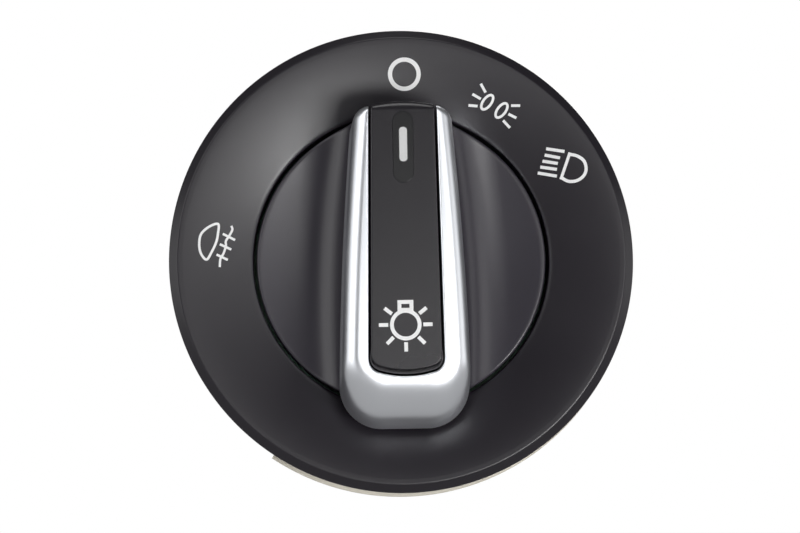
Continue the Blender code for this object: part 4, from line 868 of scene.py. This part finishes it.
# Grip insert
# Black cover strip between the trim's legs, snapped on to the core. Its upper end bows out and rolls back.
# A long hole with round ends takes the indicator's lens.

WINDOW_Y = 15.25
WINDOW_WIDTH = 2.95
WINDOW_LENGTH = 10.4
LENS_LINE = 0.04
EDGE_ROUND = 0.22
END_BOW = 0.5
INSERT_TINT = (0.0105, 0.0092, 0.012)

back_z = INSERT_FRONT_Z - INSERT_THICKNESS
nose_arc = arc((GRIP_TOP_Y - NOSE, INSERT_FRONT_Z - NOSE), NOSE, 0, math.pi / 2, 16)
side_profile = [(GRIP_TOP_Y, GRIP_FOOT_Z)] + nose_arc
side_profile += [(INSERT_LOW_Y - NOSE, INSERT_FRONT_Z), (INSERT_LOW_Y - NOSE, back_z)]
side_profile += [(GRIP_TOP_Y - NOSE, back_z), (GRIP_TOP_Y - NOSE, GRIP_FOOT_Z)]
insert = prism("grip_insert_cover", side_profile, -INSERT_WIDTHS[0], INSERT_WIDTHS[0], KNOB_PLACE @ SIDEWAYS)
plan = [(x, y) for x, y, _ in channel(0.0, INSERT_LOW_Y, GRIP_TOP_Y + NOSE)]
combine(insert, prism("plan", plan, GRIP_FOOT_Z - 1, GRIP_FRONT_Z + 1, KNOB_PLACE), "INTERSECT")


def stadium(width, length, center_y, steps=24):
    """Outline of a long hole with round ends."""
    reach = (length - width) / 2
    outline = arc((0, center_y + reach), width / 2, 0, math.pi, steps)
    return outline + arc((0, center_y - reach), width / 2, math.pi, math.tau, steps)


def bow_out(obj, from_y, half, bow):
    """Push the upper end of a strip out by a bow, most at its middle."""
    home = KNOB_PLACE.inverted()
    for vert in obj.data.vertices:
        spot = home @ vert.co
        if spot.y > from_y:
            spot.y += bow * max(1 - (spot.x / half) ** 2, 0.0) * min((spot.y - from_y) / NOSE, 1.0)
            vert.co = KNOB_PLACE @ spot


soften(insert, EDGE_ROUND, 4)
cuts = bmesh.new()
cuts.from_mesh(insert.data)
home = KNOB_PLACE.inverted()
for i in range(-6, 7):
    spot = KNOB_PLACE @ Vector((INSERT_WIDTHS[1] / 2 * i / 7, 0.0, 0.0))
    across = (KNOB_PLACE.to_3x3() @ Vector((1.0, 0.0, 0.0))).normalized()
    everything = cuts.verts[:] + cuts.edges[:] + cuts.faces[:]
    bmesh.ops.bisect_plane(cuts, geom=everything, plane_co=spot, plane_no=across)
cuts.to_mesh(insert.data)
cuts.free()
bow_out(insert, GRIP_TOP_Y - NOSE, INSERT_WIDTHS[1] / 2, END_BOW)
hole = stadium(WINDOW_WIDTH + 2 * LENS_LINE, WINDOW_LENGTH + 2 * LENS_LINE, WINDOW_Y)
combine(insert, prism("hole", hole, back_z - 1, GRIP_FRONT_Z + 1, KNOB_PLACE), "DIFFERENCE")
insert_black = moulded("insert_black", INSERT_TINT, 0.26, grain=0.12)
dress(insert, insert_black, "knob", "insert_black", "grip_insert")

# Indicator lens
# Smoked plastic plug, flush with the insert, with a white slot printed on it inside a dark line.

SLOT_X = 0.02
SLOT_Y = 15.65
SLOT_HALF = (0.57, 2.52)
SLOT_LINE = 0.12
SLOT_CORNER = 0.5
window = stadium(WINDOW_WIDTH, WINDOW_LENGTH, WINDOW_Y)
lens = prism("indicator_lens_smoked", window, back_z, INSERT_FRONT_Z, KNOB_PLACE)
soften(lens, 0.03, 2)
smoke = moulded("window_smoke", (0.007, 0.007, 0.008), 0.24, grain=0.2, depth=0.004)
dress(lens, smoke, "knob", "window_smoke", "indicator_lens")


def slot_outline(widen):
    low = (SLOT_X - SLOT_HALF[0] - widen, SLOT_Y - SLOT_HALF[1] - widen)
    high = (SLOT_X + SLOT_HALF[0] + widen, SLOT_Y + SLOT_HALF[1] + widen)
    return rounded([(x, y, SLOT_CORNER + widen) for x, y in box_outline(low, high)], 6)


dark_line = moulded("slot_line", (0.006, 0.006, 0.006), 0.5)
slot_white = printed_white("slot_white", 0.55)
slot_layers = {
    "indicator_slot_line": (SLOT_LINE, SIGN_STAND / 2, dark_line),
    "indicator_slot_print": (0.0, SIGN_STAND, slot_white),
}
for name, (widen, stand, paint) in slot_layers.items():
    sunk = INSERT_FRONT_Z - SIGN_SINK
    printed = prism(name, slot_outline(widen), sunk, INSERT_FRONT_Z + stand, KNOB_PLACE)
    dress(printed, paint, "knob", "window_smoke")

# Lamp sign on the insert
# White print of a lamp with its cap and seven rays, a hair above the insert's flat front.

LAMP_SIGN = (-0.07, -10.73)
LAMP_RING_RADIUS = 2.01
LAMP_RING_WIDTH = 0.56
CAP_HALF_WIDTH = 0.87
CAP_TOP_Y = 3.3
CAP_LOW_Y = 2.15
RAY_REACH = (2.55, 3.9)
# Each group of rays: how many, the first one's angle and the step between them in degrees.
RAY_GROUPS = {"low": (5, 180, 45), "high": (2, 38.5, 103)}
RAY_WIDTH = 0.54


def insert_face(x, y):
    return INSERT_FRONT_Z


bm = bmesh.new()
stroke(bm, oval((0, 0), LAMP_RING_RADIUS, LAMP_RING_RADIUS, 0.0, 48), LAMP_RING_WIDTH, insert_face, True)
cap = [(x * CAP_HALF_WIDTH, y) for x, y in ((-1, CAP_LOW_Y), (-1, CAP_TOP_Y), (1, CAP_TOP_Y), (1, CAP_LOW_Y))]
stroke(bm, cap, LAMP_RING_WIDTH, insert_face, True, STROKE_LIFT)
lamp_place = KNOB_PLACE @ Matrix.Translation((*LAMP_SIGN, 0.0))
dress(finished("sign_lamp", bm, lamp_place), ink, "knob", "insert_black")
for group, (count, first, step) in RAY_GROUPS.items():
    bm = bmesh.new()
    stroke(bm, [(RAY_REACH[0], 0), (RAY_REACH[1], 0)], RAY_WIDTH, insert_face)
    rays = finished(f"sign_lamp_rays_{group}", bm, UNPLACED)
    grow(rays, round_axis, ink, count=count, start=math.radians(first), step=math.radians(step))
    rays.data.transform(lamp_place)
    dress(rays, ink, "knob", "insert_black")

# Light carrier
# Cream moulding behind the bezel. Its flange seats on the panel and shows as a thin crescent below the bezel.
# Windows in its wall take the bezel's snaps, lugs on its sleeve hold the housing, ribs part the light boxes.

FLANGE_RADIUS = 35.5
# Middle and half width of each notch in degrees, the second wider than the solid's: no cream shows there.
FLANGE_NOTCHES = ((102, 14.6), (206.3, 30.3), (338, 14.6))
NOTCH_DEPTH = 1.3
CARRIER_PLATE = 1.6
SEAT_RECESS = 0.3
SLEEVE_RADIUS = 29.9
SLEEVE_BORE = 28.9
SLEEVE_END_Z = -2.6
CARRIER_OUTER = 33.1
CARRIER_INNER = 23.95
CARRIER_WALL = 1.2
OUTER_WALL_Z = 7.6
INNER_WALL_Z = 6.2
HOUSING_RADIUS = 31.5
CHIP_RADIUS = 27.0
RIB_HALF = 0.5
RIB_ANGLE = 11
RIB_INSET = 0.6
LIGHT_HOLE_HALVES = (1.7, 1.9)
LUG_COUNT = 4
LUG_HALF = 2.5
LUG_REACH = 1.0
carrier_cream = moulded("carrier_cream", (0.66, 0.62, 0.53), 0.45)
outer = CARRIER_OUTER - GAP
carrier_outline = [
    (CARRIER_INNER - CARRIER_WALL / 2, 0.0, 0.15), (SLEEVE_BORE, 0.0, 0.0),
    (SLEEVE_BORE, SLEEVE_END_Z, 0.15), (SLEEVE_RADIUS, SLEEVE_END_Z, 0.15),
    (SLEEVE_RADIUS, SEAT_RECESS, 0.0), (HOUSING_RADIUS + GAP, SEAT_RECESS, 0.0),
    (HOUSING_RADIUS + GAP, 0.0, 0.1), (FLANGE_RADIUS, 0.0, 0.2), (FLANGE_RADIUS, CARRIER_PLATE, 0.25),
    (outer, CARRIER_PLATE, 0.0), (outer, OUTER_WALL_Z, 0.3), (outer - CARRIER_WALL, OUTER_WALL_Z, 0.3),
    (outer - CARRIER_WALL, CARRIER_PLATE, 0.0), (CARRIER_INNER + CARRIER_WALL, CARRIER_PLATE, 0.0),
    (CARRIER_INNER + CARRIER_WALL, INNER_WALL_Z, 0.3), (CARRIER_INNER, INNER_WALL_Z, 0.3),
    (CARRIER_INNER, CARRIER_PLATE, 0.0), (CARRIER_INNER - CARRIER_WALL / 2, CARRIER_PLATE, 0.15),
]
carrier = turned("carrier_ring", rounded(carrier_outline), 216)


def sector(inner, outer, center, half_angle, steps=16):
    """Outline of a piece of a ring, its angles in degrees."""
    low, high = math.radians(center - half_angle), math.radians(center + half_angle)
    return arc((0, 0), outer, low, high, steps) + arc((0, 0), inner, high, low, steps)


for center, half_angle in FLANGE_NOTCHES:
    plan = sector(FLANGE_RADIUS - NOTCH_DEPTH, FLANGE_RADIUS + 1, center, half_angle)
    combine(carrier, prism("notch", plan, -1.0, CARRIER_PLATE + 1), "DIFFERENCE")
snap_half = SNAP_HALF_WIDTH + GAP
plan = box_outline((CARRIER_OUTER - CARRIER_WALL - 2 * GAP, -snap_half), (CARRIER_OUTER + GAP, snap_half))
openings = prism("openings", plan, SNAP_LEVELS[0] - GAP, SNAP_LEVELS[2] + GAP, UNPLACED)
around(openings, carrier_cream, SNAP_COUNT, math.tau / SNAP_COUNT / 2)
combine(carrier, openings, "DIFFERENCE")
for sign, (_, clockwise, _) in SIGN_PLACES.items():
    turned_by = FACE @ Matrix.Rotation(math.radians(90 - round(clockwise)), 4, "Z")
    deep, wide = LIGHT_HOLE_HALVES
    plan = box_outline((CHIP_RADIUS - deep, -wide), (CHIP_RADIUS + deep, wide))
    combine(carrier, prism("light_hole", plan, -1, CARRIER_PLATE + 1, turned_by), "DIFFERENCE")
    for side in (-1, 1):
        ribbed = turned_by @ Matrix.Rotation(side * math.radians(RIB_ANGLE), 4, "Z")
        plan = box_outline((CARRIER_INNER + RIB_INSET, -RIB_HALF), (outer - RIB_INSET, RIB_HALF))
        rib = prism(f"light_rib_{sign}_{side + 1}", plan, CARRIER_PLATE - GAP, INNER_WALL_Z - GAP, ribbed)
        dress(soften(rib, 0.1), carrier_cream, "housing", "carrier_cream")
dress(carrier, carrier_cream, "housing", "carrier_cream", "light_carrier")
plan = box_outline((SLEEVE_RADIUS - LUG_REACH / 2, -LUG_HALF), (SLEEVE_RADIUS + LUG_REACH, LUG_HALF))
lugs = prism("carrier_lugs", plan, SLEEVE_END_Z + GAP, SLEEVE_END_Z + GAP + LUG_REACH, UNPLACED)
soften(lugs, 0.2 / MM)
around(lugs, carrier_cream, LUG_COUNT, math.tau / LUG_COUNT / 2)
dress(lugs, carrier_cream, "housing", "carrier_cream")

# Housing
# Stepped black cup behind the flange, with gussets under its shoulder and two keys for the panel's notches.
# Openings let the pawls and the carrier's lugs through.

HOUSING_BORE = 30.2
HOUSING_TAIL_RADIUS = 25.5
TAIL_BORE = 24.0
SHOULDER_Z = (-10.7, -12.2)
HOUSING_END_Z = -28.3
HOUSING_WALL = HOUSING_RADIUS - HOUSING_BORE
TAIL_WALL = HOUSING_TAIL_RADIUS - TAIL_BORE
PAWL_OPENING_HALF = 5.3
PAWL_OPENING_Z = (-6.6, -3.0)
GUSSET_COUNT = 8
GUSSET_LENGTH = 10.0
GUSSET_HALF = 0.7
GUSSET_EDGE = 1.4
GUSSET_INSET = 1.5
KEY_ANGLES = (90, 250)
KEY_HALF = 1.5
KEY_REACH = 1.1
KEY_FRONT_Z = -0.6
housing_black = moulded("housing_black", (0.022, 0.022, 0.024), 0.5)
front_z, rear_z = SHOULDER_Z
housing_outline = [
    (HOUSING_BORE, 0.0, 0.15), (HOUSING_RADIUS, 0.0, 0.15), (HOUSING_RADIUS, rear_z + TAIL_WALL / 2, 0.5),
    (HOUSING_RADIUS - TAIL_WALL / 2, rear_z, 0.5), (HOUSING_TAIL_RADIUS, rear_z, 0.6),
    (HOUSING_TAIL_RADIUS, HOUSING_END_Z, 0.2), (TAIL_BORE, HOUSING_END_Z, 0.2), (TAIL_BORE, front_z, 0.3),
    (HOUSING_BORE, front_z, 0.3),
]
housing = turned("housing_cup", rounded(housing_outline), 192)
for side in (0, 180):
    beside = FACE @ Matrix.Rotation(math.radians(side), 4, "Z")
    low = (HOUSING_BORE - HOUSING_WALL, -PAWL_OPENING_HALF)
    high = (HOUSING_RADIUS + HOUSING_WALL, PAWL_OPENING_HALF)
    combine(housing, prism("pawl_opening", box_outline(low, high), *PAWL_OPENING_Z, beside), "DIFFERENCE")
lug_half = LUG_HALF + GAP
plan = box_outline((HOUSING_BORE - HOUSING_WALL / 2, -lug_half), (HOUSING_RADIUS + HOUSING_WALL, lug_half))
openings = prism("openings", plan, SLEEVE_END_Z, SLEEVE_END_Z + LUG_REACH + 2 * GAP, UNPLACED)
combine(housing, around(openings, housing_black, LUG_COUNT, math.tau / LUG_COUNT / 2), "DIFFERENCE")
dress(housing, housing_black, "housing", "housing_black", "housing")
gusset_outline = [
    (HOUSING_TAIL_RADIUS - TAIL_WALL / 2, rear_z + TAIL_WALL / 2),
    (HOUSING_RADIUS - GUSSET_INSET, rear_z + TAIL_WALL / 2),
    (HOUSING_RADIUS - GUSSET_INSET, rear_z - GUSSET_EDGE),
    (HOUSING_TAIL_RADIUS - TAIL_WALL / 2, rear_z - GUSSET_LENGTH),
]
gussets = soften(prism("gussets", gusset_outline, -GUSSET_HALF, GUSSET_HALF, upright), 0.25 / MM)
around(gussets, housing_black, GUSSET_COUNT, math.tau / GUSSET_COUNT / 2)
dress(gussets, housing_black, "housing", "housing_black")
for i, angle in enumerate(KEY_ANGLES):
    beside = FACE @ Matrix.Rotation(math.radians(angle), 4, "Z")
    plan = box_outline((HOUSING_RADIUS - HOUSING_WALL / 2, -KEY_HALF), (HOUSING_RADIUS + KEY_REACH, KEY_HALF))
    key = soften(prism(f"panel_key_{i}", plan, rear_z + TAIL_WALL, KEY_FRONT_Z, beside), 0.25)
    dress(key, housing_black, "housing", "housing_black")

# Terminal pins
# Ten tinned blades in two rows with tapered tips, pressed through the terminal base into the connector.

PIN_COLUMNS = 5
PIN_PITCH = 4.0
ROW_SPACING = 7.0
TAPER_LENGTH = 1.4

start, given = geometry_tree("blades in rows", {"Columns": 5, "Count": 10, "Pitch": 1.0, "Spacing": 1.0})
number = start.node("GeometryNodeInputIndex")
row = start.sum("FLOOR", start.sum("DIVIDE", number, given["Columns"]), 0.0)
column = number - row * given["Columns"]
spot = start.node("ShaderNodeCombineXYZ", inputs={"X": column * given["Pitch"], "Y": row * given["Spacing"]})
spots = start.node("GeometryNodePoints", inputs={"Count": given["Count"], "Position": spot})
blades = start.node("GeometryNodeInstanceOnPoints", inputs={"Points": spots, "Instance": given["Geometry"]})
end_geometry(blades, given["Material"])
in_rows = start.tree

pin_tin = satin_metal("pin_tin", (0.75, 0.74, 0.7), 0.28)
pin_names = [f"terminal_pin_{i}" for i in range(1, 11)]
corners = [FACE.inverted() @ Vector(corner) for name in pin_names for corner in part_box(name)]
lows = [min(corner[i] for corner in corners) for i in range(3)]
highs = [max(corner[i] for corner in corners) for i in range(3)]
first = [FACE.inverted() @ Vector(corner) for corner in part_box(pin_names[0])]
half_x = abs(first[1].x - first[0].x) / 2
half_y = abs(first[1].y - first[0].y) / 2


def blade_section(share, z):
    return [(x * share, y * share, z) for x, y in box_outline((-half_x, -half_y), (half_x, half_y))]


tip = [(1.0, highs[2]), (1.0, lows[2] + TAPER_LENGTH), (0.8, lows[2] + 0.4), (0.45, lows[2])]
pins = loft("terminal_pins", [blade_section(share, z) for share, z in tip], UNPLACED)
soften(pins, 0.08 / MM)
grow(pins, in_rows, pin_tin, columns=PIN_COLUMNS, count=2 * PIN_COLUMNS, pitch=PIN_PITCH, spacing=ROW_SPACING)
pins.data.transform(FACE @ Matrix.Translation((lows[0] + half_x, lows[1] + half_y, 0.0)))
dress(pins, pin_tin, "housing", "pin_tin", *pin_names)

# Remaining mouldings
# Diffuser, rear cover, pawls, cam, rotor, board and the like, each in its own plastic.
# Their solids have the right shape already, so each is its solid with rounded edges.

# Each entry gives the slot, colour, roughness and edge width in millimetres.
REMAINING = {
    "diffuser": ("diffuser_milky", (0.8, 0.8, 0.78), 0.5, 0.1),
    "rear_cover": ("housing_black", (0.022, 0.022, 0.024), 0.5, 0.25),
    "guide_plate": ("guide_grey", (0.1, 0.1, 0.105), 0.5, 0.15),
    "pawl_left": ("pawl_grey", (0.16, 0.16, 0.165), 0.42, 0.3),
    "pawl_right": ("pawl_grey", (0.16, 0.16, 0.165), 0.42, 0.3),
    "release_cam": ("cam_white", (0.75, 0.75, 0.72), 0.45, 0.15),
    "rotor": ("rotor_white", (0.72, 0.72, 0.7), 0.5, 0.15),
    "fog_slider": ("slider_white", (0.7, 0.7, 0.68), 0.5, 0.15),
    "terminal_base": ("base_brown", (0.32, 0.2, 0.12), 0.5, 0.15),
    "led_board": ("board_green", (0.03, 0.16, 0.07), 0.35, 0.1),
    "light_pipe": ("pipe_clear", (0.85, 0.88, 0.9), 0.1, 0.15),
}
SMALLEST_EDGE = 0.001
plastics = {"housing_black": housing_black}
for member, (slot_name, color, roughness, width) in REMAINING.items():
    if slot_name not in plastics:
        plastics[slot_name] = moulded(slot_name, color, roughness)
    bm = bmesh.new()
    bm.from_mesh(nodes[member].data)
    bm.transform(FACE.inverted())
    bmesh.ops.remove_doubles(bm, verts=bm.verts, dist=SMALLEST_EDGE)
    bmesh.ops.dissolve_limit(bm, angle_limit=math.radians(1), verts=bm.verts, edges=bm.edges)
    body = nodes[member].parent.name.split(":")[1]
    dress(soften(finished(f"{member}_moulding", bm), width), plastics[slot_name], body, slot_name, member)

# Springs, contacts and light chips
# Bare spring steel, copper strip and amber chips, small and mostly hidden. They take only their finish here.

METALS = {
    "spring_steel": ((0.55, 0.55, 0.56), ["return_spring", "cam_spring", "detent_spring"]),
    "copper": (
        (0.78, 0.45, 0.28),
        ["contact_bridge_1", "contact_bridge_2", "contact_track_common", "contact_track_side"]
        + ["contact_track_low", "fog_contact", "fog_track"],
    ),
}
METAL_ROUGHNESS = 0.3
for slot_name, (color, members) in METALS.items():
    finish = satin_metal(slot_name, color, METAL_ROUGHNESS)
    for member in members:
        nodes[member].data.materials.clear()
        nodes[member].data.materials.append(finish)
chip_amber = moulded("chip_amber", (0.85, 0.78, 0.4), 0.3)
for member, node in nodes.items():
    if "_led_" in member:
        node.data.materials.clear()
        node.data.materials.append(chip_amber)
